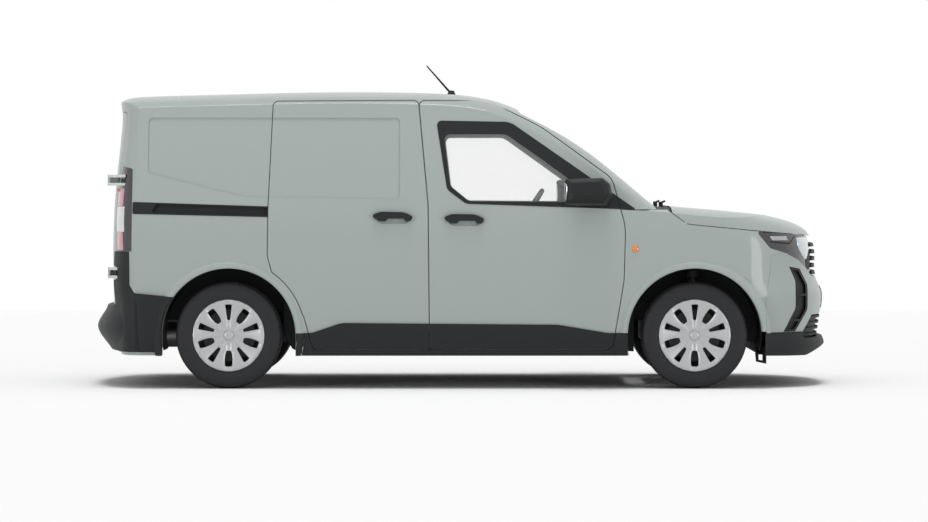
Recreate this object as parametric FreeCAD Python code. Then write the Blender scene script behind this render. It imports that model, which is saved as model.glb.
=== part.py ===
# Compact panel van with side-hinged rear doors and one sliding side door.
# Millimetres. Origin on the ground under the middle of the van, X forward, Z up.
# The near side is the right side, at negative Y. Body panels are cut from nested
# skins of one closed body form, so each panel follows the same curves as its neighbours.

import FreeCAD, Part
import math
import os

V = FreeCAD.Vector
os.makedirs("parts", exist_ok=True)

# Driving sizes of the whole van
LENGTH = 4336.0
HEIGHT = 1730.0
HALF_WIDTH = 900.0
WHEELBASE = 2693.0
FRONT_OVERHANG = 817.0
TRACK_HALF = 780.0
UNDERSIDE_Z = 190.0

# Panels and their gaps
DOOR_SKIN = 30.0
DOOR_SEAT = 36.0
WALL = 70.0
ROOF_WALL = 45.0
REAR_WALL = 60.0
DOOR_GAP = 5.0
DOOR_STEP = 28.0
FRAME_STEP = 22.0
PANEL_GAP = 1.0
GLASS = 5.0
GLASS_DEPTH = 13.0
SCREEN_DEPTH = 1.0
SCREEN_GLASS = 6.7
SCREEN_REBATE = 8.0
CLADDING = 8.0
WING_WALL = 25.0
OVERRUN = 150.0

# Wheels, tyres and arches
TYRE_R = 307.5
TYRE_WIDTH = 195.0
ARCH_R = 388.0
FLARE_WIDTH = 50.0
AXLE_Z = TYRE_R
FRONT_X = LENGTH / 2 - FRONT_OVERHANG
REAR_X = FRONT_X - WHEELBASE

# Height of the roof and screen line along the van, as shares of length and height
ROOF_XZ_SHARES = [(-0.5304, 0.8324), (-0.4751, 0.9249), (-0.4654, 0.9526), (-0.4589, 0.9699),
                  (-0.444, 0.9809), (-0.3868, 0.9873), (-0.2666, 0.9948), (-0.1607, 1), (-0.0692, 0.9983),
                  (-0.0035, 0.9902), (0.0374, 0.9746), (0.065, 0.9526), (0.1061, 0.9046), (0.158, 0.8301),
                  (0.2456, 0.6532), (0.2768, 0.5908), (0.2998, 0.5445)]
# Half width of the body side over its height
SIDE_ZY_SHARES = [(0.0694, 0.9289), (0.1272, 0.9578), (0.1908, 0.9778), (0.289, 0.9889), (0.4046, 0.9922),
                  (0.5087, 0.9878), (0.578, 0.9744), (0.6243, 0.9578), (0.6936, 0.9289), (0.7803, 0.8922),
                  (0.8671, 0.8489), (0.9249, 0.8167), (1.0173, 0.76)]
# Narrowing of the body along its length
PLAN_XF_SHARES = [(-0.5304, 0.965), (-0.4797, 0.972), (-0.3921, 0.988), (-0.2306, 1), (0.0692, 1),
                  (0.3113, 0.995), (0.5074, 0.99)]
# Height from the top of the side to the roof
SHOULDER_XD_SHARES = [(-0.5304, 0.0682), (0, 0.0723), (0.0692, 0.0809), (0.1614, 0.0867), (0.2998, 0.0751)]
# Reach of the rear face and of the rear bumper over the height
REAR_ZX_SHARES = [(0.0578, -0.4705), (0.2775, -0.4726), (0.3618, -0.473), (0.452, -0.4737),
                  (0.5879, -0.4723), (0.7538, -0.467), (0.8659, -0.4626), (0.9266, -0.4619),
                  (0.9526, -0.4654), (1.0405, -0.4654)]
# Reach of the nose over the height
NOSE_ZX_SHARES = [(0.0578, 0.4862), (0.1613, 0.4885), (0.2428, 0.4949), (0.3312, 0.4954), (0.3699, 0.4857),
                  (0.4798, 0.4843), (0.5121, 0.476), (0.5491, 0.4576), (0.5723, 0.4257), (0.5954, 0.3782),
                  (0.6474, 0.3044)]
# Height of the bonnet along its middle
BONNET_XZ_SHARES = [(0.1614, 0.6254), (0.2608, 0.615), (0.307, 0.6035), (0.3621, 0.5919), (0.4257, 0.5746),
                    (0.5304, 0.5405)]
STATION_SHARES = [-0.4866, -0.4728, -0.4647, -0.4578, -0.4451, -0.4244, -0.3805, -0.2998, -0.2076, -0.1038,
                  -0.0231, 0.0185, 0.0461, 0.0715, 0.1015, 0.1384, 0.1845, 0.2422, 0.2975]
BUMPER_ZX_SHARES = [(0.0578, -0.4705), (0.1208, -0.4756), (0.1434, -0.488), (0.174, -0.4982),
                    (0.1965, -0.5), (0.226, -0.4949), (0.2717, -0.4843), (0.3618, -0.4792),
                    (0.4624, -0.4774), (1.0405, -0.4751)]
SKIRT_ZX_SHARES = [(0.0578, 0.4728), (0.1243, 0.4935), (0.1399, 0.5002), (0.1861, 0.4903), (1.0405, 0.4899)]
STRAIGHT_SHARE = 0.995
EDGE_SHARE = 0.49
TINY = 0.001
SIDE_REACH = 1040.0
SIDE_ROOT = 420.0
DOOR_ROOT = 645.0
# How the body form is drawn
SIDE_STEPS = 7
ROOF_STEPS = 7
ROOF_POWER = 3.0
DRUM_STEPS = 16
DRUM_LOW_SHARE = 0.08
DRUM_HIGH_SHARE = 1.04
END_STEPS = 8
REAR_ROOT = -1784.0
REAR_SPREAD = 12.0
REAR_POWER_SHARES = [(0, 3.4), (1, 3.4)]
NOSE_ROOT = 1450.0
NOSE_BACK = 860.0
NOSE_POWER_SHARES = [(0, 2.5), (1, 2.5)]
BONNET_STEPS = 8
BONNET_BACK_SHARE = 0.17
BONNET_FRONT_SHARE = 0.53
BONNET_HALF = 960.0
BONNET_FALL = 50.0
BONNET_POWER = 6
# Windscreen, roof and scuttle
SCREEN_TOP_X = 338.0
SCREEN_BASE_X = 1150.0
SCREEN_TOP_HALF = 598.0
SCREEN_BASE_HALF = 705.0
SCREEN_CORNER = 60.0
SCREEN_BASE_Z = 1040.0
SCREEN_STEP = 25.0
ROOF_HALF = 640.0
DASH_HALF = 770.0
ROOF_FRONT_X = 345.0
PILLAR_FOOT_Z = 1060.0
SCUTTLE_BACK_X = 1120.0
SCUTTLE_FRONT_X = 1216.0
BONNET_BACK_X = 1222.0
BONNET_WALL = 22.0
POST_FRONT_X = 1000.0
POST_BACK_X = 802.0
POST_HALF = 846.0

# Rear doors
REAR_DOOR_HALF = 705.0
REAR_DOOR_TOP_HALF = 650.0
REAR_DOOR_LOW = 485.0
REAR_DOOR_TOP = 1600.0
REAR_DOOR_CORNER = 40.0
REAR_FACE_X = -2054.0
REAR_HINGE_X = -2042.0
REAR_HINGE_HALF = 738.0
REAR_HINGE_HEIGHTS = (667.0, 1205.0)
REAR_HINGE_R = 8.0

# Floor, bulkhead and load space
LOAD_FLOOR_Z = 560.0
LOAD_FLOOR_WALL = 40.0
CAB_FLOOR_Z = 300.0
CAB_FLOOR_WALL = 30.0
BULKHEAD_X = -290.0
BULKHEAD_WALL = 25.0
BULKHEAD_SINK = 5.0
FIREWALL_X = 985.0
FIREWALL_WALL = 15.0
RAIL_HALF = 400.0
RAIL_WIDTH = 90.0
SEAT_CLEARANCE = 0.3
REAR_FRAME_DEPTH = 220.0
ROOF_LOW_Z = 1400.0
FLARE_CREST = 900.0
FLARE_LIP = 100.0
FLARE_EDGE = 8.0
FLARE_FLAT_SHARE = 0.55
FLARE_FALL = 22.0
FLARE_LOW_Z = 190.0
FLARE_ROOT = 12.0
RECESS_DEPTH = 6.0
LAMP_DEPTH = 40.0
BUMPER_WALL = 30.0
TRACK_DEPTH = 24.0
SLIDER_ARC = ARCH_R + FLARE_WIDTH + DOOR_GAP + 3.0
FLAP_X = -1560.0
FLAP_Z = 800.0
FLAP_LENGTH = 165.0
FLAP_HEIGHT = 165.0
FLAP_CORNER = 25.0
FLAP_GAP = 2.5
FLAP_WALL = 12.0
FLAP_POCKET = 30.0
FLAP_PAD = 22.0
FLAP_PAD_IN = 30.0
CUP_DEPTH = 16.0
GRIP_PROUD = 24.0
GRIP_HOLLOW = 10.0
GLASS_LAP = 12.0
FRAME_PROUD = 2.0
MIRROR_SHARES = [(0, 0, 0.12), (0.86, 0, 0.12), (1, 0.36, 0.12), (0.95, 0.78, 0.12), (0.8, 1, 0.12),
                 (0, 0.95, 0.12)]
MIRROR_SECTIONS = [(830, 700, 860, 1062, 1100), (905, 640, 868, 1058, 1150), (960, 600, 872, 1062, 1210),
                      (1030, 610, 850, 1075, 1208), (1046, 640, 820, 1100, 1190)]
# Nose, bumpers and rear hinges
BONNET_GAP = 4.0
ARCH_FRONT = 413.0
ARCH_FRONT_RISE = 20.0
GRILLE_HALF = 430.0
GRILLE_LOW_Z = 640.0
GRILLE_TOP_Z = 845.0
GRILLE_SLATS = 5
GRILLE_SLAT_HEIGHT = 20.0
GRILLE_PROUD = 8.0
GRILLE_DEPTH = 45.0
GRILLE_BACK = 12.0
LAMP_HOUSING = 90.0
INTAKE_LOW_Z = 284.0
INTAKE_TOP_Z = 418.0
INTAKE_SLATS = 4
INTAKE_SLAT_HEIGHT = 12.0
SKIRT_SPREAD = 6.0
SKIRT_SHELF_Z = 240.0
VENT_RIM = 12.0
VENT_DEPTH = 14.0
VENT_WALL = 20.0
VENT_WEB_SHARES = (0.225, 0.31)
REAR_HINGE_WALL = 8.0
REAR_HINGE_SPAN = 98.0
REAR_HINGE_BEND = 38.0
BUMPER_SPREAD = 16.0
BUMPER_POWER_SHARES = [(0.22, 2.2), (0.36, 3.2)]
BUMPER_BASE_Z = 210.0
BUMPER_SHELF_Z = 250.0
BUMPER_TOP_Z = 472.0
TRACK_PROUD = 2.0
TRACK_WALL = 5.0
# Wheels, hubs and brakes
BEAD_R = 196.0
BEAD_WIDTH = 160.0
RIM_HALF = 80.0
TREAD_HALF = 84.0
SHOULDER_R = 296.0
SIDEWALL_R = 250.0
SIDEWALL_HALF = TYRE_WIDTH / 2
RIM_BED_R = 187.0
COVER_R = 208.0
COVER_FACE = 91.0
COVER_EDGE_R = 194.0
COVER_ROUND = 4.0
COVER_RING_R = 183.0
DISH_R = 79.0
COVER_WALL = 6.0
COVER_DISH = 22.0
COVER_SLOTS = 10
SLOT_IN_R = 90.0
SLOT_MID_R = 132.0
SLOT_OUT_R = 177.0
SLOT_CORNER = 5.0
SLOT_SHARES = ((0.1, 0.108, 0.11), (0.14, 0.175, 0.12))
HUB_R = 42.0
WEB_IN = 34.0
DISC_R = 140.0
DISC_WALL = 12.0
DISC_IN = -10.0
CAP_R = 27.0
CAP_FLAT_R = 21.0
CAP_RISE = 10.0
FIT = 0.05

# Suspension and steering
KNUCKLE_Y = 690.0
KNUCKLE_HALF = 45.0
KNUCKLE_WIDTH = 60.0
KINGPIN_LOW_HALF = 745.0
KINGPIN_LOW_Z = 190.0
KINGPIN_TOP_HALF = 560.0
KINGPIN_TOP_Z = 900.0
STRUT_R = 22.0
STRUT_LOW_Z = 420.0
STRUT_TOP_Z = 676.0
SPRING_R = 50.0
SPRING_LOW_Z = 628.0
ARM_HEIGHT = 26.0
ARM_WIDTH = 60.0
SUBFRAME_HALF = 370.0
SUBFRAME_LENGTH = 420.0
LEG_FOOT = 90.0
LEG_TOP = 56.0
LEG_WALL = 30.0
BEAM_R = 36.0
BEAM_LEAD = 320.0
TRAIL_WIDTH = 56.0
TRAIL_HALF = 560.0
DRUM_R = 120.0
DRUM_WIDTH = 50.0
BALL_R = 16.0
REAR_SPRING_R = 42.0
LINER_WALL = 6.0
LINER_HALF = 480.0

# Inside the cab and under the van
DASH_DEPTH = 395.0
DASH_LOW_Z = 660.0
DASH_HEIGHT = 402.0
DASH_SHARES = [(0, 0, 0), (0, 1, 0), (0.52, 1, 0.3), (1, 0.776, 0.1), (0.848, 0.15, 0.15), (0.494, 0, 0.1)]
DRIVER_Y = 372.0
SEAT_WIDTH = 480.0
SEAT_BASE_Z = 560.0
CUSHION_X = -130.0
CUSHION_LENGTH = 460.0
CUSHION_HEIGHT = 162.0
CUSHION_SHARES = [(0, 0, 0.12), (1, 0, 0.25), (1, 1, 0.31), (0, 0.8, 0.12)]
BACK_X = -240.0
BACK_DEPTH = 235.0
BACK_HEIGHT = 457.0
BACK_SHARES = [(0.596, 0, 0.044), (1, 0.0146, 0.087), (0.362, 1, 0.087), (0, 1, 0.066)]
REST_X = -248.0
REST_DEPTH = 83.0
REST_GAP = 40.0
REST_HEIGHT = 170.0
REST_SHARES = [(0, 0, 0.12), (1, 0, 0.12), (0.88, 1, 0.18), (0.096, 1, 0.18)]
REST_POST_R = 7.0
PLINTH_INSET = 45.0
PLINTH_WIDTH = 336.0
WHEEL_CENTRE_X = 398.0
WHEEL_CENTRE_Z = 990.0
WHEEL_RIM_R = 180.0
WHEEL_TUBE_R = 15.0
COLUMN_TILT_SHARE = 0.53
COLUMN_R = 32.0
ENGINE_BACK_X = 1080.0
ENGINE_FRONT_X = 1830.0
ENGINE_LOW_Z = 250.0
ENGINE_TOP_Z = 880.0
TANK_LENGTH = 620.0
TANK_LOW_Z = 235.0
EXHAUST_R = 27.0
SILENCER_Z = 285.0
EXHAUST_BEND_X = -1210.0
EXHAUST_FRONT_X = -445.0
EXHAUST_HANGER_X = -702.0
EXHAUST_Y = -120.0
SILENCER_R = 75.0
ANTENNA_X = -58.0
ANTENNA_LENGTH = 225.0
ANTENNA_TIP_R = 4.0
ANTENNA_ROOT_R = 7.0
TREAD_SHOULDER = 70.0
ARM_TOP_Z = 196.0
KNUCKLE_RISE = 20.0
ARM_ROOT_HALF = 120.0
BEAM_Z = 300.0
SPRING_HALF = RAIL_HALF
RAIL_LOW_Z = LOAD_FLOOR_Z - LOAD_FLOOR_WALL - RAIL_WIDTH
TAIL_LOW_Z = 300.0
SCUTTLE_LOW_Z = 950.0
SCUTTLE_DEPTH = 10.0
SCUTTLE_WALL = 20.0
SPRING_LEAD = 140.0
FLOOR_FRONT_REAR_X = -740.0
LINER_RISE = 75.0
LINER_LOW_Z = 218.0
FIREWALL_TOP_Z = 1010.0
TAIL_FRONT_X = -1960.0
RAIL_BACK_X = -1960.0
FRONT_RAIL_X = 1990.0
FRONT_RAIL_HALF = 376.0
FRONT_RAIL_Z = 460.0
COLUMN_START = 40.0
COLUMN_LENGTH = 330.0
SPOKE_HALF = 22.0
RADIATOR_X = 1890.0
RADIATOR_WALL = 60.0
RADIATOR_HALF = 320.0
RADIATOR_LOW_Z = 330.0
RADIATOR_TOP_Z = 800.0
BEAM_DEPTH = 60.0
TIE_WIDTH = 40.0
TIE_HALF = 256.0
BEAM_HALF = 440.0
TANK_X = -930.0
TANK_Y = -10.0
TANK_WIDTH = 320.0
TANK_CORNER = 30.0
EXHAUST_Z = 400.0
SILENCER_X = -1930.0
SILENCER_LENGTH = 420.0
EXHAUST_END_X = -2000.0
SCUTTLE_HALF = 775.0
WIPER_X = 1196.0
WIPER_Z = 1078.0
WIPER_RISE = 50.0
WIPER_R = 13.0
WIPER_ARM_R = 6.0
WIPER_SWEEP = 8.0
WIPER_LIFT = 4.0
WIPER_PLACES = [(-60.0, 560.0), (590.0, 560.0)]
ANTENNA_TILT = 0.72

# Outlines seen from the side, as shares of length and height with the corner radius
DOOR_XZR_SHARES = [(-0.0411, 0.1312, 0.0087), (-0.0429, 0.6133, 0), (-0.056, 0.963, 0.0173),
                   (0.0362, 0.963, 0.1908), (0.1065, 0.8757, 0.3468), (0.2011, 0.7017, 0.0636),
                   (0.2186, 0.5405, 0.2023), (0.2166, 0.3613, 0.2312), (0.2013, 0.1312, 0.026)]
WINDOW_XZR_SHARES = [(-0.0226, 0.8497, 0.0173), (0.0604, 0.8497, 0.0462), (0.1511, 0.6879, 0.0145),
                     (0.1614, 0.6231, 0.0145), (0.0104, 0.626, 0.026), (-0.0143, 0.6763, 0.026)]
FRAME_XZR_SHARES = [(-0.033, 0.8965, 0.0162), (0.0657, 0.8919, 0.0694), (0.2341, 0.5977, 0.0029),
                    (0.0069, 0.6173, 0.0347), (-0.0185, 0.6647, 0.0347)]
SLIDER_XZR_SHARES = [(-0.0424, 0.1312, 0.0087), (-0.0443, 0.6133, 0), (-0.0574, 0.963, 0.0173),
                     (-0.2507, 0.9607, 0.0173), (-0.2562, 0.6127, 0), (-0.2571, 0.4451, 0.0347),
                     (-0.2514, 0.3908, 0), (-0.2087, 0.2428, 0), (-0.1965, 0.1312, 0.0173)]
TRACK_XZR_SHARES = [(-0.4377, 0.6237, 0.0046), (-0.2555, 0.6087, 0), (-0.2555, 0.5728, 0),
                    (-0.4377, 0.5832, 0.0046)]
CHANNEL_XZR_SHARES = [(-0.4059, 0.6162, 0.0035), (-0.2583, 0.604, 0), (-0.2583, 0.5786, 0),
                      (-0.4128, 0.5873, 0.0058)]
LAMP_XZR_SHARES = [(-0.5074, 0.459, 0), (-0.4389, 0.459, 0), (-0.4384, 0.7341, 0.0069),
                   (-0.452, 0.7422, 0.0046), (-0.5074, 0.7514, 0)]
BUMPER_REAR_XZR_SHARES = [(-0.5304, 0.0578, 0), (-0.5304, 0.4578, 0), (-0.4421, 0.4578, 0),
                          (-0.4419, 0.3468, 0.0231), (-0.4347, 0.3191, 0.0116), (-0.3598, 0.3006, 0),
                          (-0.3598, 0.0578, 0)]
HEADLAMP_XZR_SHARES = [(0.3935, 0.5277, 0.0069), (0.4599, 0.5121, 0.0347), (0.5304, 0.4913, 0),
                       (0.5304, 0.3769, 0), (0.4746, 0.3769, 0.0116), (0.4562, 0.4254, 0.0231),
                       (0.4359, 0.452, 0.0347), (0.4128, 0.4694, 0.0231)]
BONNET_XZR_SHARES = [(0.2744, 0.7514, 0), (0.2744, 0.6012, 0.0173), (0.301, 0.5509, 0.0347),
                     (0.3935, 0.5283, 0), (0.4608, 0.5133, 0.0173), (0.5304, 0.4832, 0),
                     (0.5304, 0.7514, 0)]
WING_XZR_SHARES = [(0.1845, 0.1098, 0), (0.1845, 0.5977, 0), (0.3459, 0.5977, 0), (0.5304, 0.5977, 0),
                   (0.5304, 0.4451, 0), (0.4382, 0.4451, 0), (0.4382, 0.1913, 0), (0.3921, 0.1913, 0),
                   (0.3921, 0.1098, 0)]
GRIP_XZR_SHARES = [(-0.0258, 0.5711, 0.0081), (-0.0115, 0.5838, 0.0347), (0.0185, 0.5821, 0.0347),
                   (0.0325, 0.5665, 0.0081), (0.0272, 0.5509, 0.0058), (0.0221, 0.5509, 0.0035),
                   (0.0185, 0.5607, 0.0046), (-0.0018, 0.5607, 0.0046), (-0.0055, 0.5509, 0.0035),
                   (-0.0143, 0.5532, 0.0116)]
CUP_XZR_SHARES = [(-0.0231, 0.5723, 0.0069), (-0.0138, 0.5792, 0.0173), (0.0231, 0.5792, 0.0173),
                  (0.0304, 0.5665, 0.0092), (0.0231, 0.5434, 0.0173), (-0.0115, 0.5434, 0.0231)]
SLIDER_GRIP_SHARE = (-0.0952, 0.0075)
CLADDING_XZR_SHARES = [(-0.2768, 0.0578, 0), (-0.2768, 0.1861, 0), (-0.1983, 0.1861, 0.0347),
                       (-0.1591, 0.2197, 0.0925), (0.1292, 0.2139, 0.1156), (0.196, 0.1861, 0.0694),
                       (0.2537, 0.1861, 0), (0.2537, 0.0578, 0)]
BUMPER_XZR_SHARES = [(0.4073, 0.1861, 0), (0.4064, 0.2717, 0), (0.4151, 0.4451, 0), (0.4347, 0.452, 0),
                     (0.5304, 0.4046, 0), (0.5304, 0.1861, 0)]
SKIRT_XZR_SHARES = [(0.4013, 0.1838, 0), (0.5304, 0.1838, 0), (0.5304, 0.1786, 0),
                    (0.4659, 0.1052, 0.0347), (0.4013, 0.1087, 0)]
VENT_XZR_SHARES = [(0.4403, 0.4058, 0), (0.4493, 0.3584, 0.0347), (0.4493, 0.2659, 0.0347),
                   (0.4322, 0.1879, 0), (0.4488, 0.1879, 0), (0.4673, 0.2601, 0.0347),
                   (0.4673, 0.3445, 0.0347), (0.4562, 0.3977, 0)]
INTAKE_YZR_SHARES = [(-0.7222, 0.1642, 0.0058), (-0.5889, 0.2416, 0.0145), (0.5889, 0.2416, 0.0145),
                     (0.7222, 0.1642, 0.0058)]
GRIP_HOLLOW_XZR_SHARES = [(-0.0203, 0.5954, 0), (0.0272, 0.5954, 0), (0.0212, 0.5434, 0),
                          (-0.0115, 0.5434, 0)]
SIDE_XZR_SHARES = [(-0.5304, 0.1098, 0), (-0.5304, 1.0405, 0), (0.2975, 1.0405, 0), (0.2975, 0.5988, 0),
                   (0.1845, 0.5988, 0), (0.1845, 0.1098, 0)]
RECESS_XZR_SHARES = [(-0.4179, 0.9064, 0.0173), (-0.0814, 0.9052, 0.0127), (-0.0814, 0.6324, 0.0127),
                     (-0.286, 0.6399, 0.0347), (-0.3268, 0.663, 0.0578), (-0.4179, 0.7208, 0.0145)]


def smooth(table, at):
    # Value at one place of a table of (place, value) pairs, with no overshoot between them
    places = [row[0] for row in table]
    values = [row[1] for row in table]
    if at <= places[0]:
        return values[0]
    if at >= places[-1]:
        return values[-1]
    steps = [b - a for a, b in zip(places, places[1:])]
    rises = [(b - a) / step for a, b, step in zip(values, values[1:], steps)]
    slopes = [rises[0]]
    for k in range(1, len(steps)):
        slope = 0.0
        if rises[k - 1] * rises[k] > 0:
            first = 2 * steps[k] + steps[k - 1]
            second = steps[k] + 2 * steps[k - 1]
            slope = (first + second) / (first / rises[k - 1] + second / rises[k])
        slopes.append(slope)
    slopes.append(rises[-1])
    k = max(i for i in range(len(steps)) if places[i] <= at)
    t = (at - places[k]) / steps[k]
    start = (1 + 2 * t) * (1 - t) ** 2 * values[k] + t * (1 - t) ** 2 * steps[k] * slopes[k]
    end = t * t * (3 - 2 * t) * values[k + 1] + t * t * (t - 1) * steps[k] * slopes[k + 1]
    return start + end


def spline(points, places):
    curve = Part.BSplineCurve()
    curve.interpolate(Points=points, Parameters=places)
    return curve


def surface(rows):
    # One smooth surface through rows of points, with straight rows kept straight
    along = [k / (len(rows) - 1) for k in range(len(rows))]
    across = [k / (len(rows[0]) - 1) for k in range(len(rows[0]))]
    row_curves = [spline(row, across) for row in rows]
    columns = zip(*[curve.getPoles() for curve in row_curves])
    column_curves = [spline(list(column), along) for column in columns]
    poles = [list(row) for row in zip(*[curve.getPoles() for curve in column_curves])]
    first, other = column_curves[0], row_curves[0]
    result = Part.BSplineSurface()
    result.buildFromPolesMultsKnots(poles, first.getMultiplicities(), other.getMultiplicities(),
                                    first.getKnots(), other.getKnots(), False, False, 3, 3)
    return result


def closed_form(rows):
    # Solid under an arched surface whose four edges are flat: flat faces close its ends and its base
    face = surface(rows).toShape()
    first, last = rows[0], rows[-1]

    def edge_between(a, b):
        def distance(edge):
            p, q = edge.Vertexes[0].Point, edge.Vertexes[-1].Point
            return min((p - a).Length + (q - b).Length, (p - b).Length + (q - a).Length)
        return min(face.Edges, key=distance)

    near_line = Part.makeLine(last[0], last[-1])
    far_line = Part.makeLine(first[0], first[-1])
    near_end = edge_between(last[0], last[-1])
    far_end = edge_between(first[0], first[-1])
    right = edge_between(first[0], last[0])
    left = edge_between(first[-1], last[-1])
    rings = [[near_end, near_line], [far_end, far_line], [right, near_line, left, far_line]]
    caps = [Part.Face(Part.Wire(Part.sortEdges(ring)[0])) for ring in rings]
    shell = Part.makeShell([face] + caps)
    shell.sewShape()
    solid = Part.Solid(shell)
    if solid.Volume < 0:
        solid.reverse()
    return solid


def side_at(x, z):
    return HALF_WIDTH * smooth(SIDE_ZY_SHARES, z / HEIGHT) * smooth(PLAN_XF_SHARES, x / LENGTH)


def mirrored(points):
    return points + [V(p.x, -p.y, p.z) for p in reversed(points[:-1])]


def arch(x, side, top, base):
    # Half a cross-section of the body, from the sill up the side and over to the middle of the roof
    crown = HEIGHT * smooth(ROOF_XZ_SHARES, x / LENGTH) - top
    spring = crown - HEIGHT * smooth(SHOULDER_XD_SHARES, x / LENGTH)
    points = []
    for k in range(SIDE_STEPS):
        z = base + (spring - base) * k / SIDE_STEPS
        points.append(V(x, side - side_at(x, z), z))
    half = side_at(x, spring) - side
    for k in range(ROOF_STEPS):
        a = math.pi / 2 * k / ROOF_STEPS
        points.append(V(x, -half * math.cos(a) ** (2 / ROOF_POWER),
                        spring + (crown - spring) * math.sin(a) ** (2 / ROOF_POWER)))
    return mirrored(points + [V(x, 0, crown)])


def drum(reaches, root, back, side, end, spread, power):
    # Upright form whose plan is straight along the sides and rounded across one end
    rows = []
    for k in range(DRUM_STEPS + 1):
        z = HEIGHT * (DRUM_LOW_SHARE + (DRUM_HIGH_SHARE - DRUM_LOW_SHARE) * k / DRUM_STEPS)
        sign = 1 if reaches[0][1] > 0 else -1
        reach = LENGTH * smooth(reaches, z / HEIGHT) - sign * end
        fullness = smooth(power, z / HEIGHT)
        row = []
        for j in range(SIDE_STEPS):
            x = back + (root - back) * j / SIDE_STEPS
            row.append(V(x, side - side_at(x, z) - spread, z))
        for j in range(END_STEPS):
            a = math.pi / 2 * j / END_STEPS
            x = root + (reach - root) * math.sin(a) ** (2 / fullness)
            half = side_at(x, z) + spread - side
            row.append(V(x, -half * math.cos(a) ** (2 / fullness), z))
        rows.append(mirrored(row + [V(reach, 0, z)]))
    return closed_form(rows)


def sweep(side, top):
    # The cabin and load space as one closed form with a flat rear end, set in by these depths
    return closed_form([arch(LENGTH * share, side, top, UNDERSIDE_Z) for share in STATION_SHARES])


def tail(side, rear):
    # Upright form that rounds the rear end off in plan
    return drum(REAR_ZX_SHARES, REAR_ROOT, -REAR_ROOT, side, rear, REAR_SPREAD, REAR_POWER_SHARES)


def nose(side, top, end):
    # The front end below the bonnet surface
    rows = []
    for k in range(BONNET_STEPS + 1):
        x = LENGTH * (BONNET_BACK_SHARE + (BONNET_FRONT_SHARE - BONNET_BACK_SHARE) * k / BONNET_STEPS)
        middle = HEIGHT * smooth(BONNET_XZ_SHARES, x / LENGTH) - top
        row = []
        for j in range(BONNET_STEPS + 1):
            y = -BONNET_HALF * (1 - j / BONNET_STEPS)
            row.append(V(x, y, middle - BONNET_FALL * (abs(y) / HALF_WIDTH) ** BONNET_POWER))
        rows.append(mirrored(row))
    below = surface(rows).toShape().extrude(V(0, 0, -HEIGHT))
    return below.common(drum(NOSE_ZX_SHARES, NOSE_ROOT, NOSE_BACK, side, end, 0.0, NOSE_POWER_SHARES))


def xz(shares):
    return [(LENGTH * a, HEIGHT * b, HEIGHT * r) for a, b, r in shares]


def yz(shares):
    return [(HALF_WIDTH * a, HEIGHT * b, HEIGHT * r) for a, b, r in shares]


def within(shares, x0, length, z0, height):
    # An outline given as shares of one piece's own length and height
    return [(x0 + length * a, z0 + height * b, abs(height) * r) for a, b, r in shares]


def rectangle(a0, b0, a1, b1, r=0.0):
    return [(a0, b0, r), (a1, b0, r), (a1, b1, r), (a0, b1, r)]


def grown(corners, by):
    # The same outline with every edge moved outwards, or inwards for a negative distance
    count = len(corners)
    area = sum(corners[k][0] * corners[(k + 1) % count][1] - corners[(k + 1) % count][0] * corners[k][1]
               for k in range(count))
    turn = 1 if area > 0 else -1
    result = []
    for k in range(count):
        (px, pz, _), (cx, cz, r), (nx, nz, _) = corners[k - 1], corners[k], corners[(k + 1) % count]
        first = math.hypot(cx - px, cz - pz)
        second = math.hypot(nx - cx, nz - cz)
        ax, az = (cx - px) / first, (cz - pz) / first
        bx, bz = (nx - cx) / second, (nz - cz) / second
        out_a = (az * turn, -ax * turn)
        out_b = (bz * turn, -bx * turn)
        scale = by / (1 + out_a[0] * out_b[0] + out_a[1] * out_b[1])
        bend = (ax * bz - az * bx) * turn
        radius = max(0.0, r + by if bend > 0 else r - by) if r > 0 else 0.0
        result.append((cx + (out_a[0] + out_b[0]) * scale, cz + (out_a[1] + out_b[1]) * scale, radius))
    return result


def face_of(corners, plane):
    # Flat face with rounded corners in the XZ, YZ or XY plane
    def place(a, b):
        return {"y": V(a, 0, b), "x": V(0, a, b), "z": V(a, b, 0)}[plane]
    count = len(corners)
    cuts = []
    for k in range(count):
        c = V(corners[k][0], corners[k][1], 0)
        p = V(corners[k - 1][0], corners[k - 1][1], 0)
        n = V(corners[(k + 1) % count][0], corners[(k + 1) % count][1], 0)
        u, v = (p - c).normalize(), (n - c).normalize()
        half = u.getAngle(v) / 2
        r = corners[k][2]
        if r <= 0 or half > math.pi / 2 * STRAIGHT_SHARE:
            cuts.append((c, None, c))
            continue
        room = EDGE_SHARE * min((p - c).Length, (n - c).Length)
        reach = min(r / math.tan(half), room)
        r = reach * math.tan(half)
        bisector = (u + v).normalize()
        middle = c + bisector * (r / math.sin(half) - r)
        cuts.append((c + u * reach, middle, c + v * reach))
    edges = []
    for k in range(count):
        start, middle, end = cuts[k]
        if middle is not None:
            edges.append(Part.Arc(place(start.x, start.y), place(middle.x, middle.y),
                                  place(end.x, end.y)).toShape())
        following = cuts[(k + 1) % count][0]
        if (following - end).Length > TINY:
            edges.append(Part.makeLine(place(end.x, end.y), place(following.x, following.y)))
    return Part.Face(Part.Wire(edges))


def prism(corners, plane, low, high):
    face = face_of(corners, plane)
    axis = {"y": V(0, 1, 0), "x": V(1, 0, 0), "z": V(0, 0, 1)}[plane]
    face.translate(axis * low)
    return face.extrude(axis * (high - low))


def right_prism(corners, root=SIDE_ROOT):
    return prism(corners, "y", -SIDE_REACH, -root)


def box(x0, x1, y0, y1, z0, z1):
    return Part.makeBox(x1 - x0, y1 - y0, z1 - z0, V(x0, y0, z0))


def rod(a, b, radius):
    return Part.makeCylinder(radius, (b - a).Length, a, b - a)


def fused(shapes):
    shapes = list(shapes)
    return shapes[0].fuse(shapes[1:]).removeSplitter() if len(shapes) > 1 else shapes[0]


def across(shape):
    # The same piece on the left side
    return shape.mirror(V(0, 0, 0), V(0, 1, 0))


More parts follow.
